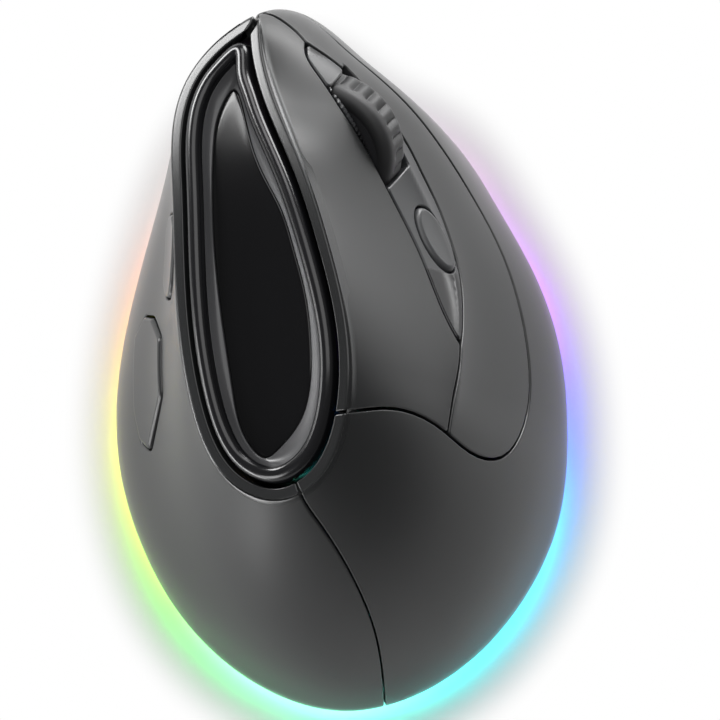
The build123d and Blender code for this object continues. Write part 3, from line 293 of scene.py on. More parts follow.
front_line, middle_line = seam_line(FRONT_SEAM), seam_line(MIDDLE_SEAM)
left_line, right_line = seam_line(STRIP_LEFT), seam_line(STRIP_RIGHT)
far_front = (-FAR, FRONT_SEAM[0][1])
buttons_field = region(flat_slope, seam_line(BUTTON_SEAM), [(-FAR, FAR), (-FAR, BUTTON_SEAM[0][1])])
left_field = region(flat_slope, front_line, left_line, middle_line, [(-FAR, MIDDLE_SEAM[-1][1]), far_front])
right_field = region(flat_slope, front_line, right_line, middle_line,
                     [(MIDDLE_SEAM[-1][0], -FAR), (FAR, -FAR), (FAR, FAR), (-FAR, FAR), far_front])
strip_field = region(flat_slope, left_line, right_line[::-1])
finger_field = region(skin_rows[..., :2], seam_line(NOSE_SPLIT), seam_line(HEEL_SPLIT),
                      [(FAR, -FAR), (FAR, FAR), (NOSE_SPLIT[0][0], FAR)])
split_gap = np.where(skin_rows[..., 1] > 0, NOSE_GAP, HEEL_GAP)

# Wall of a shell or button: cut from the skin along its seams, two millimetres thick as moulded parts of
# this kind are, with a softly rolled edge.
EDGE_ROLL = 0.35
ROLL_LEVELS = (1.0, 0.66, 0.3, 0.06, 0.0)
CUT_SNAP = 0.03
CUT_MARGIN = 0.05


def cut_along(values, triangles, level):
    """Split the triangles that the level line of the last column crosses, so that edges follow the line.

    Points within a small distance of the line are put on it. A triangle with one corner on the line is
    halved through that corner. Any other crossed triangle has one corner alone on its side: two points are
    added on the edges from that corner, where the field reaches the level, which makes three triangles.
    """
    field = values[:, -1]
    near = np.abs(field - level) < CUT_SNAP
    field[near] = level
    side = np.sign(field - level).astype(int)
    corner_side = side[triangles]
    mixed = (corner_side.min(1) < 0) & (corner_side.max(1) > 0)
    kept, split, split_side = triangles[~mixed], triangles[mixed], corner_side[mixed]
    flat = (split_side == 0).any(1)
    lone = np.where(flat, (split_side == 0).argmax(1),
                    (split_side == -np.sign(split_side.sum(1))[:, None]).argmax(1))
    split = np.take_along_axis(split, (lone[:, None] + np.arange(3)) % 3, 1)
    halves, thirds = split[flat], split[~flat]
    edges = np.concatenate([halves[:, 1:], thirds[:, :2], thirds[:, ::2]])
    pairs, places = np.unique(np.sort(edges, 1), axis=0, return_inverse=True)
    start, end = values[pairs[:, 0]], values[pairs[:, 1]]
    share = (level - start[:, -1]) / (end[:, -1] - start[:, -1])
    added = start + (end - start) * share[:, None]
    added[:, -1] = level
    places = places.reshape(-1) + len(values)
    on_half, on_first, on_second = np.split(places, [len(halves), len(halves) + len(thirds)])
    pieces = [kept, np.stack([halves[:, 0], halves[:, 1], on_half], 1),
              np.stack([halves[:, 0], on_half, halves[:, 2]], 1),
              np.stack([thirds[:, 0], on_first, on_second], 1),
              np.stack([on_first, thirds[:, 1], thirds[:, 2]], 1),
              np.stack([on_first, thirds[:, 2], on_second], 1)]
    return np.vstack([values, added]), np.concatenate(pieces)


def drop_unused(values, triangles):
    """Values of the points that the triangles use, and the triangles with the new numbers."""
    used, triangles = np.unique(triangles, return_inverse=True)
    return values[used], triangles.reshape(-1, 3)


def grid_triangles(rows, columns):
    """Triangles of a grid whose second way is closed, wound so that they face outwards."""
    low = np.arange(rows - 1)[:, None] * columns
    here, after = np.arange(columns), (np.arange(columns) + 1) % columns
    a, b, c, d = low + here, low + columns + here, low + columns + after, low + after
    return np.concatenate([np.stack([a, b, c], -1).reshape(-1, 3), np.stack([a, c, d], -1).reshape(-1, 3)])


def field_fall(field):
    """Unit ways along the skin in which a field falls fastest.

    The field's slopes along the grid's two ways are turned into a way in space by the surface's own
    metric: the squares of the two ways and their product.
    """
    up_way = np.gradient(skin_rows, axis=0)
    round_way = (np.roll(skin_rows, -1, 1) - np.roll(skin_rows, 1, 1)) / 2
    field_up = np.gradient(field, axis=0)
    field_round = (np.roll(field, -1, 1) - np.roll(field, 1, 1)) / 2
    up_square, round_square = (up_way ** 2).sum(-1), (round_way ** 2).sum(-1)
    product = (up_way * round_way).sum(-1)
    bottom = up_square * round_square - product ** 2
    slope_up = (field_up * round_square - field_round * product) / bottom
    slope_round = (field_round * up_square - field_up * product) / bottom
    fall = -(slope_up[..., None] * up_way + slope_round[..., None] * round_way)
    return fall / np.maximum(np.linalg.norm(fall, axis=-1, keepdims=True), TINY)


def add_mesh(name, points, faces, normals, body, material):
    """Smooth mesh of a body's piece from points in millimetres, faces of one size and vertex normals."""
    mesh = bpy.data.meshes.new(name)
    mesh.vertices.add(len(points))
    mesh.vertices.foreach_set("co", (points * MM).astype(np.float32).ravel())
    mesh.loops.add(faces.size)
    mesh.loops.foreach_set("vertex_index", faces.astype(np.int32).ravel())
    mesh.polygons.add(len(faces))
    mesh.polygons.foreach_set("loop_start", np.arange(0, faces.size, faces.shape[1], dtype=np.int32))
    mesh.update(calc_edges=True)
    mesh.shade_smooth()
    mesh.normals_split_custom_set_from_vertices(normals.astype(np.float32))
    mesh.materials.append(material)
    piece = bpy.data.objects.new(name, mesh)
    bpy.context.scene.collection.objects.link(piece)
    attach(piece, body)
    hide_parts(name)
    return piece


bezel_mark = (np.arange(len(skin_rows)) >= bezel_row)[:, None] * np.ones(SKIN_TURNS)


def skin_piece(name, body, material, field, raised=0.0, roll=EDGE_ROLL, thickness=WALL,
               mark=bezel_mark):
    """Closed wall cut from the skin where the field is positive.

    The edge is a quarter circle: at a distance d under the roll radius r from the edge, the surface drops
    by r - sqrt(r^2 - (r - d)^2). A second skin lies a wall's thickness below, and strips join their edges.
    The mark, 0 to 1 over the skin, becomes the mesh's attribute that a material reads.
    """
    values = np.concatenate([skin_rows, skin_normals, field_fall(field), mark[..., None],
                             field[..., None]], -1)
    values = values.reshape(-1, values.shape[-1])
    triangles = grid_triangles(len(skin_rows), SKIN_TURNS)
    values, triangles = drop_unused(values, triangles[values[triangles, -1].max(1) > -CUT_MARGIN])
    for level in ROLL_LEVELS:
        values, triangles = cut_along(values, triangles, level * roll)
    values, triangles = drop_unused(values, triangles[values[triangles, -1].min(1) > -TINY])
    points, normals, outward = values[:, :3], values[:, 3:6], values[:, 6:9]
    normals = normals / np.linalg.norm(normals, axis=1, keepdims=True)
    lean = np.clip(1 - values[:, -1] / roll, 0, 1)[:, None]
    drop = roll * (1 - np.sqrt(1 - lean ** 2))
    top = points + normals * (raised - drop)
    top_normals = normals * np.sqrt(1 - lean ** 2) + outward * lean
    under = points - normals * thickness
    edges = np.concatenate([triangles[:, :2], triangles[:, 1:], triangles[:, ::-2]])
    first, count = np.unique(np.sort(edges, 1), axis=0, return_index=True, return_counts=True)[1:]
    start, end = edges[first[count == 1]].T
    strip_points = np.concatenate([top[start], under[start], under[end], top[end]])
    strip_normals = np.concatenate([top_normals[start], top_normals[start],
                                    top_normals[end], top_normals[end]])
    a, b, c, d = np.arange(4 * len(start)).reshape(4, -1) + 2 * len(values)
    faces = np.concatenate([triangles, triangles[:, ::-1] + len(values),
                            np.stack([a, b, c], 1), np.stack([a, c, d], 1)])
    piece = add_mesh(name, np.concatenate([top, under, strip_points]), faces,
                     np.concatenate([top_normals, -normals, strip_normals]), body, material)
    marks = np.concatenate([values[:, -2], values[:, -2], np.zeros(len(strip_points))])
    attribute = piece.data.attributes.new("mark", "FLOAT", "POINT")
    attribute.data.foreach_set("value", marks.astype(np.float32))


# Shell plastic: dark grey moulding with a fine spark-eroded texture, a little smoother on the loop's bezel.
# The texture is far finer than a millimetre, so it shows as an even satin sheen.
SHELL_COLOUR = (0.014, 0.0145, 0.015, 1)
SHELL_ROUGHNESS = 0.31
BEZEL_ROUGHNESS = 0.24
SHELL_GRAIN = 5200.0
GRAIN_HEIGHT = 0.00002
MIX_FIRST, MIX_SECOND, MIX_RESULT = 6, 7, 2      # the Mix node's own places for two colours and their blend


def new_material(name, colour, roughness):
    """Plain glossy or matte surface, which later nodes add detail to."""
    material = bpy.data.materials.new(name)
    material.use_nodes = True
    surface = material.node_tree.nodes["Principled BSDF"]
    surface.inputs["Base Color"].default_value = colour
    surface.inputs["Roughness"].default_value = roughness
    return material


def add_node(material, kind, links=(), **settings):
    """Node with its settings, and links given as (own input, other node, its output)."""
    node = material.node_tree.nodes.new(kind)
    for key, value in settings.items():
        if hasattr(node, key):
            setattr(node, key, value)
        else:
            node.inputs[key].default_value = value
    for own, other, output in links:
        material.node_tree.links.new(other.outputs[output], node.inputs[own])
    return node


def feed(material, socket, node, output):
    """Link a node's output to a socket of the material's surface."""
    surface = material.node_tree.nodes["Principled BSDF"]
    material.node_tree.links.new(node.outputs[output], surface.inputs[socket])


def blend_colours(material, share, output, first, second):
    """Base colour that goes from the first colour to the second by another node's output."""
    tone = add_node(material, "ShaderNodeMix", [("Factor", share, output)], data_type="RGBA")
    tone.inputs[MIX_FIRST].default_value = first
    tone.inputs[MIX_SECOND].default_value = second
    feed(material, "Base Color", tone, MIX_RESULT)


def add_grain(material, scale, strength, height=GRAIN_HEIGHT):
    """Fine moulded texture: noise on object coordinates, so many grains to the metre, as a bump."""
    place = add_node(material, "ShaderNodeTexCoord")
    noise = add_node(material, "ShaderNodeTexNoise", [("Vector", place, "Object")], Scale=scale, Detail=2.0)
    bump = add_node(material, "ShaderNodeBump", [("Height", noise, "Fac")],
                    Strength=strength, Distance=height)
    feed(material, "Normal", bump, "Normal")


def add_wear(material, colour, spread, scale):
    """Slight uneven tone, as handled plastic has: slow noise blends a darker and a lighter colour."""
    place = add_node(material, "ShaderNodeTexCoord")
    cloud = add_node(material, "ShaderNodeTexNoise", [("Vector", place, "Object")], Scale=scale, Detail=4.0)
    darker, lighter = (tuple(part * way for part in colour[:3]) + (1,) for way in (1 - spread, 1 + spread))
    blend_colours(material, cloud, "Fac", darker, lighter)


def gloss_by_mark(material, plain, marked):
    """Roughness that goes from plain to marked by the piece's own mark, and the node that reads the mark."""
    mark = add_node(material, "ShaderNodeAttribute", attribute_name="mark")
    gloss = add_node(material, "ShaderNodeMapRange", [("Value", mark, "Fac")],
                     **{"To Min": plain, "To Max": marked})
    feed(material, "Roughness", gloss, "Result")
    return mark


shell_plastic = new_material("shell plastic", SHELL_COLOUR, SHELL_ROUGHNESS)
add_grain(shell_plastic, SHELL_GRAIN, strength=0.25)
add_wear(shell_plastic, SHELL_COLOUR, spread=0.08, scale=60.0)
gloss_by_mark(shell_plastic, SHELL_ROUGHNESS, BEZEL_ROUGHNESS)

# Scroll wheel's place: a drum on a leaning axis that stands out of the slope. The buttons and the strip
# leave room for it, and a plane across its nose side parts the strip from its cap.
WHEEL_CENTRE = np.array([-0.9, 34.9, 44.5])
WHEEL_AXIS = np.array([-0.425, -0.596, 0.669])
WHEEL_AXIS = WHEEL_AXIS / np.linalg.norm(WHEEL_AXIS)
WHEEL_OUT = np.array([0.79, 0.12, 0.60])
WHEEL_OUT = WHEEL_OUT - (WHEEL_OUT @ WHEEL_AXIS) * WHEEL_AXIS
WHEEL_OUT = WHEEL_OUT / np.linalg.norm(WHEEL_OUT)
WHEEL_FORWARD = np.cross(WHEEL_AXIS, WHEEL_OUT)
WHEEL_RADIUS = 12.0
WHEEL_WIDTH = 7.0
WHEEL_ROOM = 0.7
CAP_START = 9.2
from_wheel = skin_rows - WHEEL_CENTRE
axial = from_wheel @ WHEEL_AXIS
radial = np.linalg.norm(from_wheel - axial[..., None] * WHEEL_AXIS, axis=-1)
wheel_field = np.maximum(np.abs(axial) - WHEEL_WIDTH / 2 - WHEEL_ROOM, radial - WHEEL_RADIUS - WHEEL_ROOM)
cap_field = from_wheel @ WHEEL_FORWARD - CAP_START

# Main buttons: two long moulded caps on the slope, each with a shallow hollow for a finger, split by the
# wheel strip and the middle seam, and cut round the wheel.
for name, side_field in (("left_button", left_field), ("right_button", right_field)):
    skin_piece(name, name, shell_plastic,
               np.minimum.reduce([buttons_field - SEAM / 2, side_field - SEAM / 2,
                                  finger_field - split_gap / 2, wheel_field]))

# Thumb buttons: two moulded caps that stand half a millimetre proud of the thumb's side, with softly rolled
# edges. Their outlines are drawn rearwards and upwards on a plane that faces the thumb.
FLANK_ORIGIN = np.array([-32.9, -4.7, 33.5])
FLANK_UP = np.array([0.4907, 0, 0.8713])
FLANK_OUT = np.array([-0.8713, 0, 0.4907])
FLANK_TILT = 0.3
BACK_LINE = [(-11.8, -2.0), (-10.8, 2.2), (-6.5, 7.0), (3.2, 7.2), (11.5, -1.5), (9.5, -4.8), (4.5, -6.3),
             (-9.0, -6.3)]
FORWARD_LINE = [(-12.2, 13.6), (-13.0, 9.6), (-15.6, 7.6), (-24.5, 7.6), (-27.3, 9.8), (-26.8, 13.0),
                (-24.2, 15.2), (-14.4, 15.2)]
THUMB_CORNER = 1.2
THUMB_REACH = 25.0
THUMB_ROLL = 0.8
THUMB_THICKNESS = 2.4
CAP_PROUD = 0.5
from_flank = skin_rows - FLANK_ORIGIN
flat_flank = np.stack([-from_flank[..., 1], from_flank @ FLANK_UP], -1)
on_flank = (skin_normals @ FLANK_OUT > FLANK_TILT) & (skin_rows[..., 0] < 0)


def rounded_region(points, outline):
    """Signed distance to a clockwise outline with rounded corners: to its inner offset, plus the corner."""
    outline = np.array(outline)
    ways = np.roll(outline, -1, 0) - outline
    ways /= np.linalg.norm(ways, axis=1, keepdims=True)
    before = np.roll(ways, 1, 0)
    inward = np.stack([ways[:, 1], -ways[:, 0]], -1) + np.stack([before[:, 1], -before[:, 0]], -1)
    spread = 1 + (ways * before).sum(1)
    inner = outline + THUMB_CORNER * inward / spread[:, None]
    return region(points, inner) + THUMB_CORNER


def thumb_field(outline):
    """Field of one thumb button, kept to the thumb's side of the body."""
    near = (np.abs(flat_flank - np.mean(outline, 0)) < THUMB_REACH).all(-1) & on_flank
    field = np.full(near.shape, -FAR)
    field[near] = rounded_region(flat_flank[near], outline)
    return field


back_field, forward_field = thumb_field(BACK_LINE), thumb_field(FORWARD_LINE)
for name, field in (("back_button", back_field), ("forward_button", forward_field)):
    skin_piece(name, name, shell_plastic, field,
               raised=CAP_PROUD, roll=THUMB_ROLL, thickness=THUMB_THICKNESS)

# Fixed shells: the thumb's side with its two button openings, and the palm's side down to the heel and
# round under the right button to the nose, where the charging socket opens. Both are screwed to the base.
CAP_CLEARANCE = 0.3
SOCKET_AT = np.array([-8.6, 8.6])
SOCKET_STRAIGHT = 5.8
SOCKET_RADIUS = 1.9
NOSE_START = 40.0
socket_reach = np.abs(skin_rows[..., ::2] - SOCKET_AT) - np.array([SOCKET_STRAIGHT / 2, 0])
socket_gap = np.linalg.norm(np.maximum(socket_reach, 0), axis=-1) - SOCKET_RADIUS
socket_field = np.where(skin_rows[..., 1] > NOSE_START, socket_gap, FAR)
skin_piece("thumb_shell", "base", shell_plastic,
           np.minimum.reduce([-finger_field - split_gap / 2, -back_field - CAP_CLEARANCE,
                              -forward_field - CAP_CLEARANCE]))
skin_piece("palm_shell", "base", shell_plastic,
           np.minimum.reduce([finger_field - split_gap / 2, -buttons_field - SEAM / 2, socket_field]))

# Resolution button: a small oval moulded cap behind the wheel, a shade lighter than the strip round it and
# half a millimetre proud. Its field is nearly the distance to the oval: where f is the reach from the middle
# in the oval's own half lengths, 1 - f over the steepness of f.
DPI_AT = np.array([6.0, 19.3])
DPI_HALF = np.array([3.2, 5.85])
DPI_TURN = np.radians(25.0)
DPI_TILT = -0.2
DPI_ROLL = 0.9
DPI_THICKNESS = 1.8
DPI_COLOUR = (0.045, 0.046, 0.048, 1)
from_dpi = flat_slope - DPI_AT
dpi_ways = np.stack([from_dpi @ [np.cos(DPI_TURN), np.sin(DPI_TURN)],
                     from_dpi @ [-np.sin(DPI_TURN), np.cos(DPI_TURN)]], -1)
oval = np.linalg.norm(dpi_ways / DPI_HALF, axis=-1)
oval_by_steepness = np.maximum(np.linalg.norm(dpi_ways / DPI_HALF ** 2, axis=-1), TINY)
dpi_field = np.where(skin_normals @ SLOPE_DOWN > DPI_TILT, oval * (1 - oval) / oval_by_steepness, -FAR)
dpi_plastic = new_material("resolution button plastic", DPI_COLOUR, roughness=0.34)
add_grain(dpi_plastic, SHELL_GRAIN, strength=0.15)
skin_piece("dpi_button", "dpi_button", dpi_plastic, dpi_field,
           raised=CAP_PROUD, roll=DPI_ROLL, thickness=DPI_THICKNESS)

# Wheel strip: a leaf-shaped moulding between the main buttons, clipped in from below, with the wheel's
# opening, the resolution button's oval hole and a polished black tail. A cap closes its nose end.
STRIP_COLOUR = (0.030, 0.031, 0.033, 1)
STRIP_ROUGHNESS = 0.3
# Colour of the polished black tail. It is also used as painted shade at the cap's two ends, where dark slots
# would be.
TAIL_AND_SLOT_SHADE_COLOUR = (0.006, 0.006, 0.007, 1)
TAIL_ROUGHNESS = 0.12
TAIL_START = (13.3, 13.7)
SLOT_SHADE_NOSE = (47.9, 48.2)
SLOT_SHADE_REAR = (1.4, 1.7)
STRIP_SETBACK = 1.0
CAP_SEAM = 0.1
strip_plastic = new_material("strip plastic", STRIP_COLOUR, STRIP_ROUGHNESS)
add_grain(strip_plastic, SHELL_GRAIN, strength=0.2)
strip_mark = gloss_by_mark(strip_plastic, STRIP_ROUGHNESS, TAIL_ROUGHNESS)
blend_colours(strip_plastic, strip_mark, "Fac", STRIP_COLOUR, TAIL_AND_SLOT_SHADE_COLOUR)
whole_strip = np.minimum.reduce([strip_field - SEAM / 2, finger_field - STRIP_SETBACK, wheel_field])
tail = 1 - smooth_step(flat_slope[..., 1], *TAIL_START)
# Painted shade: the cap's nose end and its end at the wheel are painted black and glossy, where dark slots
# would be.
painted_slot_shade = np.maximum(smooth_step(flat_slope[..., 1], *SLOT_SHADE_NOSE), 1 - smooth_step(cap_field, *SLOT_SHADE_REAR))
skin_piece("wheel_strip", "base", strip_plastic,
           np.minimum.reduce([whole_strip, -dpi_field - CAP_CLEARANCE, -cap_field - CAP_SEAM / 2]),
           mark=tail)
skin_piece("wheel_cap", "base", strip_plastic,
           np.minimum(whole_strip, cap_field - CAP_SEAM / 2), mark=painted_slot_shade)

# Bead round the loop: a polished black ring, pressed into the groove inside the bezel. It is one profile
# carried round the loop on the arched crown: a bevelled foot, straight sides and a half oval on top.
GROOVE = 0.9
BEAD_WIDTH = 2.6
BEAD_RISE = 0.9
BEAD_SEAT = 3.4
BEAD_BEVEL = 0.3
BEAD_SIDE = 0.9
OVAL_START = 0.3
OVAL_STEPS = 15
BEAD_COLOUR = (0.006, 0.006, 0.007, 1)
GLOSS_HEIGHT = 0.00001
LOOP_TURNS = 720
LOOP_POINTS = 40
LOOP_SAMPLES = 480
FOLD_SLACK = 0.02


def inset_curve(inset):
    """Smooth closed curve at a distance inside the rim, without the points that a tight bend folds over.

    A point of the inset line is kept where no point of the rim is nearer than the inset. The rest is
    stepped evenly along its length and made a smooth curve again.
    """
    shares = np.arange(LOOP_SAMPLES) / LOOP_SAMPLES
    moved = inside(rim_curve, shares, inset)
    gaps = np.sqrt(((moved[:, None] - rim_curve(shares)[None]) ** 2).sum(-1))
    kept = moved[gaps.min(1) > inset - FOLD_SLACK]
    kept = np.vstack([kept, kept[:1]])
    lengths = np.append(0, np.cumsum(np.linalg.norm(np.diff(kept, axis=0), axis=1)))
    even = np.linspace(0, lengths[-1], LOOP_POINTS, endpoint=False)
    return smooth_curve(np.stack([np.interp(even, lengths, kept[:, axis]) for axis in (0, 1)], -1), True)


def loop_row(curve, start, inset, drop):
    """Row round the loop on the crown, on a curve moved inwards and down."""
    flat = inside(curve, loop_turns + start, inset)
    return crown_point(flat[:, 0], flat[:, 1], drop)


def closed_grid(rows, columns):
    """Four-cornered faces of a grid that closes both ways, facing outwards."""
    row, column = np.meshgrid(np.arange(rows), np.arange(columns), indexing="ij")
    above, beside = (row + 1) % rows, (column + 1) % columns
    return np.stack([row * columns + column, above * columns + column,
                     above * columns + beside, row * columns + beside], -1).reshape(-1, 4)


def ring_piece(name, body, material, rows):
    """Closed ring from rows of points, each row once round the ring, with smooth normals."""
    up_way = np.roll(rows, -1, 0) - np.roll(rows, 1, 0)
    round_way = np.roll(rows, -1, 1) - np.roll(rows, 1, 1)
    normals = np.cross(up_way, round_way)
    normals /= np.linalg.norm(normals, axis=-1, keepdims=True)
    add_mesh(name, rows.reshape(-1, 3), closed_grid(*rows.shape[:2]), normals.reshape(-1, 3),
             body, material)


bead_plastic = new_material("bead plastic", BEAD_COLOUR, roughness=0.2)
add_grain(bead_plastic, scale=900.0, strength=0.05, height=GLOSS_HEIGHT)
loop_turns = np.arange(LOOP_TURNS) / LOOP_TURNS
bead_curve = inset_curve(WALL + GROOVE + BEAD_WIDTH / 2)
bead_half = BEAD_WIDTH / 2
bead_angles = np.linspace(0, np.pi, OVAL_STEPS)
bead_sides = np.concatenate([[bead_half - BEAD_BEVEL, bead_half, bead_half], np.cos(bead_angles) * bead_half,
                             [-bead_half, -bead_half, BEAD_BEVEL - bead_half]])
bead_drops = np.concatenate([[BEAD_SEAT, BEAD_SEAT - BEAD_BEVEL, BEAD_SIDE],
                             OVAL_START - np.sin(bead_angles) * (BEAD_RISE + OVAL_START),
                             [BEAD_SIDE, BEAD_SEAT - BEAD_BEVEL, BEAD_SEAT]])
ring_piece("trim_ring", "base", bead_plastic,
           np.array([loop_row(bead_curve, 0, -side, drop) for side, drop in zip(bead_sides, bead_drops)]))

# Well inside the bead: a dark satin moulded ring whose wall slopes down from the bead to the smoked panel.
# The wall widens towards the nose and sags a little between its two edges.
PANEL_LINE = [(18.2, 30.7), (24.7, 17.8), (26.7, 11.6), (28.5, 4.4), (29.0, -3.7), (28.3, -10.0),
              (26.3, -15.1), (21.1, -20.0), (18.1, -21.3), (15.4, -19.1), (13.2, -10.1), (12.2, 0.8),
              (11.1, 13.3), (10.6, 24.7), (10.6, 31.5), (11.4, 36.9), (13.4, 40.3)]
PANEL_DEPTH = 2.6
PANEL_THICKNESS = 1.2
PANEL_PLAY = 0.1
WELL_TOP = 1.0
WELL_BOTTOM = 5.0
WELL_SAG = 0.35
WELL_SHARES = (0.06, 0.2, 0.35, 0.5, 0.65, 0.8, 0.94)
WELL_COLOUR = (0.06, 0.06, 0.063, 1)
NOSE_SAMPLES = 2000


def nose_share(curve):
    """Share of a closed curve's length where it comes nearest to the nose."""
    shares = np.arange(NOSE_SAMPLES) / NOSE_SAMPLES
    return shares[curve(shares)[:, 1].argmax()]


well_plastic = new_material("well plastic", WELL_COLOUR, roughness=0.3)
add_grain(well_plastic, scale=1500.0, strength=0.04, height=GLOSS_HEIGHT)
well_curve = inset_curve(WALL + GROOVE + BEAD_WIDTH)
panel_curve = smooth_curve(PANEL_LINE, True)
well_start, panel_start = nose_share(well_curve), nose_share(panel_curve)
top_row = loop_row(well_curve, well_start, 0, WELL_TOP)
low_row = loop_row(panel_curve, panel_start, 0, PANEL_DEPTH)
well_rows = [loop_row(well_curve, well_start, 0, WELL_BOTTOM), top_row]
for share in WELL_SHARES:
    well_rows.append(top_row + (low_row - top_row) * share - WELL_SAG * np.sin(np.pi * share) * CROWN_OUT)
well_rows.append(low_row)
well_rows.append(loop_row(panel_curve, panel_start, 0, PANEL_DEPTH + PANEL_THICKNESS + PANEL_PLAY))
well_rows.append(loop_row(panel_curve, panel_start, 0, WELL_BOTTOM))
ring_piece("panel_well", "base", well_plastic, np.array(well_rows))

# Smoked panel: a thin polished black sheet with a fine bevelled edge, glued into the well. Its faces are
# rings that shrink towards the middle, where a hub closes each of them.
PANEL_COLOUR = (0.004, 0.004, 0.0045, 1)
PANEL_GLOSS = 0.3
PANEL_STEP = 3
FACE_EDGE = 0.97
UNDER_SHARES = (0.02, 0.5, 0.97)
FACE_SHARES = (0.96, 0.88, 0.75, 0.6, 0.45, 0.3, 0.15, 0.02)
EDGE_ROWS = ((0.12, PANEL_THICKNESS - 0.1), (0.1, 0.3), (0.16, 0.1), (0.45, 0.0))
panel_plastic = new_material("panel plastic", PANEL_COLOUR, roughness=0.12)
panel_plastic.node_tree.nodes["Principled BSDF"].inputs["Specular IOR Level"].default_value = PANEL_GLOSS
add_grain(panel_plastic, scale=2600.0, strength=0.08, height=GLOSS_HEIGHT)
panel_edge = panel_curve(loop_turns)
panel_centre = panel_edge.mean(0)


def panel_row(share, drop):
    """Row of the panel's face: its edge line drawn in towards the middle."""
    flat = panel_centre + (panel_edge - panel_centre) * share
    return crown_point(flat[:, 0], flat[:, 1], drop)


panel_rows = [panel_row(share, PANEL_DEPTH + PANEL_THICKNESS) for share in UNDER_SHARES]
panel_rows += [loop_row(panel_curve, 0, inset, PANEL_DEPTH + drop) for inset, drop in EDGE_ROWS]
panel_rows += [panel_row(share * FACE_EDGE, PANEL_DEPTH) for share in FACE_SHARES]
panel_rows = np.array(panel_rows)[:, ::PANEL_STEP]
row_count, column_count = panel_rows.shape[:2]
hubs = np.array([panel_rows[0].mean(0), panel_rows[-1].mean(0)])
low_hub = row_count * column_count
ring = np.arange(column_count)
beside = (ring + 1) % column_count
last = (row_count - 1) * column_count
panel_faces = np.concatenate([grid_triangles(row_count, column_count),
                              np.stack([ring, beside, np.full(column_count, low_hub)], 1),
                              np.stack([last + beside, last + ring, np.full(column_count, low_hub + 1)], 1)])
panel_normals = np.concatenate([surface_normals(panel_rows).reshape(-1, 3), [-CROWN_OUT, CROWN_OUT]])
add_mesh("centre_panel", np.concatenate([panel_rows.reshape(-1, 3), hubs]), panel_faces, panel_normals,
         "base", panel_plastic)

# Scroll wheel's tyre: black rubber moulded over the hub, with rounded shoulders and, across one side of its
# tread, ribs with round backs: a groove is as deep as one less the root of a cosine hump.
TYRE_THICKNESS = 2.4
TYRE_LIP = 0.3
SHOULDER = 1.6
SHOULDER_STEPS = 7
TREAD_STEPS = 9
RIB_COUNT = 26
RIB_DEPTH = 0.7
RIB_END = 1.2
RIB_START_FADE = (0.2, 1.5)
RIB_END_FADE = (0.0, 0.8)
WHEEL_STEPS = 576
RUBBER_COLOUR = (0.018, 0.018, 0.019, 1)
wheel_rubber = new_material("wheel rubber", RUBBER_COLOUR, roughness=0.55)
add_grain(wheel_rubber, scale=4200.0, strength=0.3)
tyre_turn = np.arange(WHEEL_STEPS) / WHEEL_STEPS * 2 * np.pi
half = WHEEL_WIDTH / 2
hub_radius = WHEEL_RADIUS - TYRE_THICKNESS
shoulder_angles = np.linspace(0, np.pi / 2, SHOULDER_STEPS)
shoulder_side = half - SHOULDER * (1 - np.cos(shoulder_angles))
shoulder_radius = WHEEL_RADIUS - SHOULDER * (1 - np.sin(shoulder_angles))
tread_side = np.linspace(half - SHOULDER, SHOULDER - half, TREAD_STEPS)[1:-1]
tyre_side = np.concatenate([[half - TYRE_LIP, half], shoulder_side, tread_side,
                            -shoulder_side[::-1], [-half, TYRE_LIP - half]])
tyre_radius = np.concatenate([[hub_radius] * 2, shoulder_radius, [WHEEL_RADIUS] * len(tread_side),
                              shoulder_radius[::-1], [hub_radius] * 2])
tread = smooth_step(half + tyre_side, *RIB_START_FADE) * smooth_step(RIB_END - tyre_side, *RIB_END_FADE)
rib = 0.5 - 0.5 * np.cos(RIB_COUNT * tyre_turn)
tyre_reach = tyre_radius[:, None] - RIB_DEPTH * tread[:, None] * (1 - np.sqrt(rib))[None]
tyre_ways = np.cos(tyre_turn)[:, None] * WHEEL_OUT - np.sin(tyre_turn)[:, None] * WHEEL_FORWARD
tyre_rows = WHEEL_CENTRE + tyre_side[:, None, None] * WHEEL_AXIS + tyre_reach[..., None] * tyre_ways[None]
ring_piece("wheel_tyre", "scroll_wheel", wheel_rubber, tyre_rows[::-1])


# Pieces kept as the frame gives them: the base under the body and everything inside it. Each takes a plain
# moulded, metal or lacquered finish, since little or nothing of them shows from outside.
def plain_finish(name, colour, roughness, metallic=0.0):
    """Moulded or metal finish with a fine grain and slightly uneven tone."""
    material = new_material(name, colour, roughness)
    material.node_tree.nodes["Principled BSDF"].inputs["Metallic"].default_value = metallic
    add_grain(material, scale=2500.0, strength=0.12)
    add_wear(material, colour, spread=0.12, scale=90.0)
    return material


def finish_kept(names, material):
    """Give the frame's own pieces of these names one material."""
    for name in names.split():
        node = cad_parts[name]
        node.data.materials.clear()
        node.data.materials.append(material)


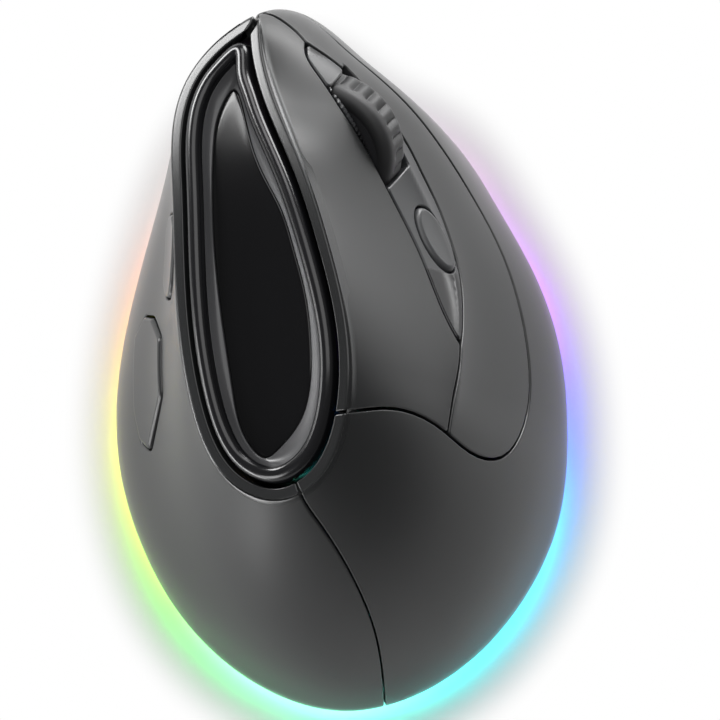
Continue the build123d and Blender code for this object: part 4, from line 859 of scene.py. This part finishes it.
finish_kept("inner_frame side_bracket wheel_carrier base_plate power_slider wheel_hub",
            plain_finish("inner plastic", (0.020, 0.020, 0.022, 1), 0.5))
finish_kept("left_switch right_switch dpi_switch back_switch forward_switch wheel_switch wheel_encoder "
            "power_switch", plain_finish("switch plastic", (0.050, 0.050, 0.055, 1), 0.3))
finish_kept("left_pin right_pin dpi_pin back_pin forward_pin wheel_pin",
            plain_finish("pin plastic", (0.60, 0.60, 0.58, 1), 0.35))
finish_kept("main_board button_board side_board ring_board",
            plain_finish("board lacquer", (0.012, 0.060, 0.030, 1), 0.3))
finish_kept("processor sensor", plain_finish("chip resin", (0.015, 0.015, 0.016, 1), 0.5))
finish_kept("front_glide rear_glide left_glide right_glide",
            plain_finish("glide plastic", (0.030, 0.030, 0.032, 1), 0.25))
finish_kept("hinge_rod wheel_axle base_screws board_screws",
            plain_finish("steel", (0.50, 0.50, 0.51, 1), 0.3, 1.0))
finish_kept("usb_socket", plain_finish("socket steel", (0.45, 0.45, 0.46, 1), 0.25, 1.0))
finish_kept("battery", plain_finish("battery wrap", (0.25, 0.26, 0.28, 1), 0.35))
finish_kept("ribbon_cable", plain_finish("ribbon plastic", (0.55, 0.35, 0.10, 1), 0.35))
finish_kept("sensor_lens", plain_finish("lens plastic", (0.80, 0.82, 0.84, 1), 0.08))

# Light ring: a milky diffuser just above the table, lit from inside by coloured lamps whose colours run
# round the base: orange and yellow at the thumb, green and blue at the heel, violet at the finger side.
GLOW_STRENGTH = 25.0
LED_STRENGTH = 2.0
GLOW_FULL = 0.02            # reach of a face's outward side from the middle, in metres, where it glows fully
GLOW_COLOURS = [(0.00, (0.20, 0.19, 0.19)), (0.08, (0.35, 0.15, 0.35)), (0.13, (0.36, 0.08, 0.55)),
                (0.18, (0.45, 0.03, 0.95)), (0.25, (0.06, 0.03, 1.0)), (0.30, (0.0, 0.14, 1.0)),
                (0.35, (0.0, 0.45, 1.0)), (0.40, (0.03, 0.80, 1.0)), (0.45, (0.08, 0.95, 0.90)),
                (0.50, (0.22, 1.0, 0.65)), (0.56, (0.15, 1.0, 0.30)), (0.60, (0.18, 1.0, 0.08)),
                (0.64, (0.45, 1.0, 0.03)), (0.69, (0.90, 1.0, 0.0)), (0.735, (1.0, 0.85, 0.0)),
                (0.79, (1.0, 0.45, 0.03)), (0.84, (0.80, 0.30, 0.15)), (0.89, (0.40, 0.28, 0.25)),
                (1.00, (0.20, 0.19, 0.19))]


def glow_material(name, strength):
    """Glowing surface whose colour is read from the turn round the body, clockwise from the nose.

    It glows where its face looks outwards: by the product of its place and its normal.
    """
    material = new_material(name, (0.8, 0.8, 0.8, 1), 0.3)
    place = add_node(material, "ShaderNodeTexCoord")
    parts = add_node(material, "ShaderNodeSeparateXYZ", [("Vector", place, "Object")])
    angle = add_node(material, "ShaderNodeMath", [(0, parts, "X"), (1, parts, "Y")], operation="ARCTAN2")
    turn = add_node(material, "ShaderNodeMath", [(0, angle, "Value")], operation="DIVIDE")
    turn.inputs[1].default_value = 2 * np.pi
    share = add_node(material, "ShaderNodeMath", [(0, turn, "Value")], operation="FRACT")
    ramp = add_node(material, "ShaderNodeValToRGB", [("Fac", share, "Value")])
    stops = ramp.color_ramp.elements
    while len(stops) < len(GLOW_COLOURS):
        stops.new(0.5)
    for stop, (position, colour) in zip(stops, GLOW_COLOURS):
        stop.position = position
        stop.color = colour + (1,)
    outward = add_node(material, "ShaderNodeVectorMath", [(0, place, "Object"), (1, place, "Normal")],
                       operation="DOT_PRODUCT")
    facing = add_node(material, "ShaderNodeMapRange", [("Value", outward, "Value")],
                      **{"From Max": GLOW_FULL, "To Max": strength})
    feed(material, "Emission Color", ramp, "Color")
    feed(material, "Emission Strength", facing, "Result")
    return material


finish_kept("light_ring", glow_material("light ring glow", GLOW_STRENGTH))
finish_kept("ring_leds", glow_material("ring leds glow", LED_STRENGTH))

# Table: a plain white surface that the feet stand on. Seen directly it is pure white in the open. Near
# the body the camera sees it in a darker painted shade colour, and on that the body's real shadow and the
# ring's light fall. A fine grid under the body carries the change.
PAINTED_SHADE_REACH = (0.5, 11.5)      # distances outside the foot line where the painted shade starts and ends its fade
TABLE_COLOUR = (0.90, 0.90, 0.90, 1)
# Painted shade: a darker colour that only the camera sees on the table near the body, in place of the plain
# white.
PAINTED_SHADE_COLOUR = (0.46, 0.46, 0.46, 1)
TABLE_END = 3000
GRID_END = 110
GRID_LINES = 221
FOOT_STEPS = 180
table_steps = np.concatenate([[-TABLE_END], np.linspace(-GRID_END, GRID_END, GRID_LINES), [TABLE_END]])
table_points = np.stack(np.meshgrid(table_steps, table_steps), -1)
foot_distance = -region(table_points, foot_curve(np.arange(FOOT_STEPS) / FOOT_STEPS))
table_open = smooth_step(foot_distance, *PAINTED_SHADE_REACH)
table_points = np.concatenate([table_points, np.zeros(table_open.shape + (1,))], -1).reshape(-1, 3)
table_lines = len(table_steps)
corners = np.arange(table_lines - 1)
corners = (corners[:, None] * table_lines + corners).ravel()
table_faces = corners[:, None] + [0, 1, table_lines + 1, table_lines]
floor_mesh = bpy.data.meshes.new("floor")
floor_mesh.from_pydata((table_points * MM).tolist(), [], table_faces.tolist())
open_attribute = floor_mesh.attributes.new("open", "FLOAT", "POINT")
open_attribute.data.foreach_set("value", table_open.ravel().astype(np.float32))
floor = bpy.data.objects.new("floor", floor_mesh)
bpy.context.scene.collection.objects.link(floor)
floor_paint = new_material("floor paint", TABLE_COLOUR, roughness=0.8)
table_surface = floor_paint.node_tree.nodes["Principled BSDF"]
table_sight = add_node(floor_paint, "ShaderNodeLightPath")
# Camera rays see the table in the painted shade colour, and all other rays see it in the plain white.
blend_colours(floor_paint, table_sight, "Is Camera Ray", TABLE_COLOUR, PAINTED_SHADE_COLOUR)
table_share = add_node(floor_paint, "ShaderNodeAttribute", attribute_name="open")
table_white = add_node(floor_paint, "ShaderNodeMath",
                       [(0, table_sight, "Is Camera Ray"), (1, table_share, "Fac")], operation="MULTIPLY")
white_light = add_node(floor_paint, "ShaderNodeEmission")
table_mix = add_node(floor_paint, "ShaderNodeMixShader",
                     [("Fac", table_white, "Value"), (1, table_surface, "BSDF"),
                      (2, white_light, "Emission")])
floor_paint.node_tree.links.new(table_mix.outputs["Shader"],
                                floor_paint.node_tree.nodes["Material Output"].inputs["Surface"])
floor_mesh.materials.append(floor_paint)

# Studio: a dim pale surround, soft square lamps round the table, and two bright boards that lie on the
# table outside the picture and show in the shell's flanks. Places and sizes are in metres, powers in watts.
WORLD_STRENGTH = 0.15
AIM_HEIGHT = 0.03
LAMPS = [("overhead lamp", (0.0, 0.2, 1.4), 1.2, 9.0), ("nose lamp", (-0.2, 1.0, 1.0), 0.6, 5.0),
         ("front lamp", (0.35, 0.9, 0.27), 0.5, 10.0), ("side lamp", (-1.0, 0.65, 0.34), 0.4, 10.0),
         ("thumb lamp", (-1.3, -0.1, 0.14), 0.25, 1.5), ("rear lamp", (-0.85, -1.0, 0.2), 0.4, 4.0)]
BOARDS = [("rear board", (-0.31, -0.165, 0.004), 0.26, 3.2), ("front board", (0.14, 0.27, 0.004), 0.24, 1.0)]
world = bpy.data.worlds.new("studio")
bpy.context.scene.world = world
world.use_nodes = True
world.node_tree.nodes["Background"].inputs["Color"].default_value = (1, 1, 1, 1)
world.node_tree.nodes["Background"].inputs["Strength"].default_value = WORLD_STRENGTH


def add_lamp(name, place, size, power, lean, turn):
    """Square lamp that leans from facing down and turns about the upright, unseen by the camera itself."""
    lamp = bpy.data.lights.new(name, "AREA")
    lamp.shape = "SQUARE"
    lamp.size = size
    lamp.energy = power
    holder = bpy.data.objects.new(name, lamp)
    holder.location = place
    holder.rotation_euler = (lean, 0, turn)
    holder.visible_camera = False
    bpy.context.scene.collection.objects.link(holder)


for name, place, size, power in LAMPS:
    away = np.array(place) - [0, 0, AIM_HEIGHT]
    add_lamp(name, place, size, power, np.arccos(away[2] / np.linalg.norm(away)),
             np.arctan2(away[1], away[0]) + np.pi / 2)
for name, place, size, power in BOARDS:
    add_lamp(name, place, size, power, np.pi, np.arctan2(place[1], place[0]))

# Camera: steeply above the heel, looking forwards and down, far off with a long lens. The point that it
# looks at lies a little off the picture's middle.
PICTURE = 720
FOCAL_PIXELS = 3483.0
SENSOR_WIDTH = 36.0
CAMERA_RISE = np.radians(80.0)
CAMERA_AWAY = 600.0
LOOK_AT = np.array([0.6, -0.7, 30.0])
LOOK_PIXEL = np.array([343.5, 362.9])
away = np.array([0, -np.cos(CAMERA_RISE), np.sin(CAMERA_RISE)])
up = np.array([0, np.sin(CAMERA_RISE), np.cos(CAMERA_RISE)])
offset = (np.array([PICTURE / 2, PICTURE / 2]) - LOOK_PIXEL) * CAMERA_AWAY / FOCAL_PIXELS
place = LOOK_AT + away * CAMERA_AWAY + offset[0] * np.array([1, 0, 0]) - offset[1] * up
lens = bpy.data.cameras.new("camera")
lens.sensor_width = SENSOR_WIDTH
lens.lens = FOCAL_PIXELS / PICTURE * SENSOR_WIDTH
camera = bpy.data.objects.new("camera", lens)
camera.location = place * MM
camera.rotation_euler = (np.pi / 2 - CAMERA_RISE, 0, 0)
bpy.context.scene.collection.objects.link(camera)
bpy.context.scene.camera = camera
bpy.context.scene.view_settings.view_transform = "Standard"
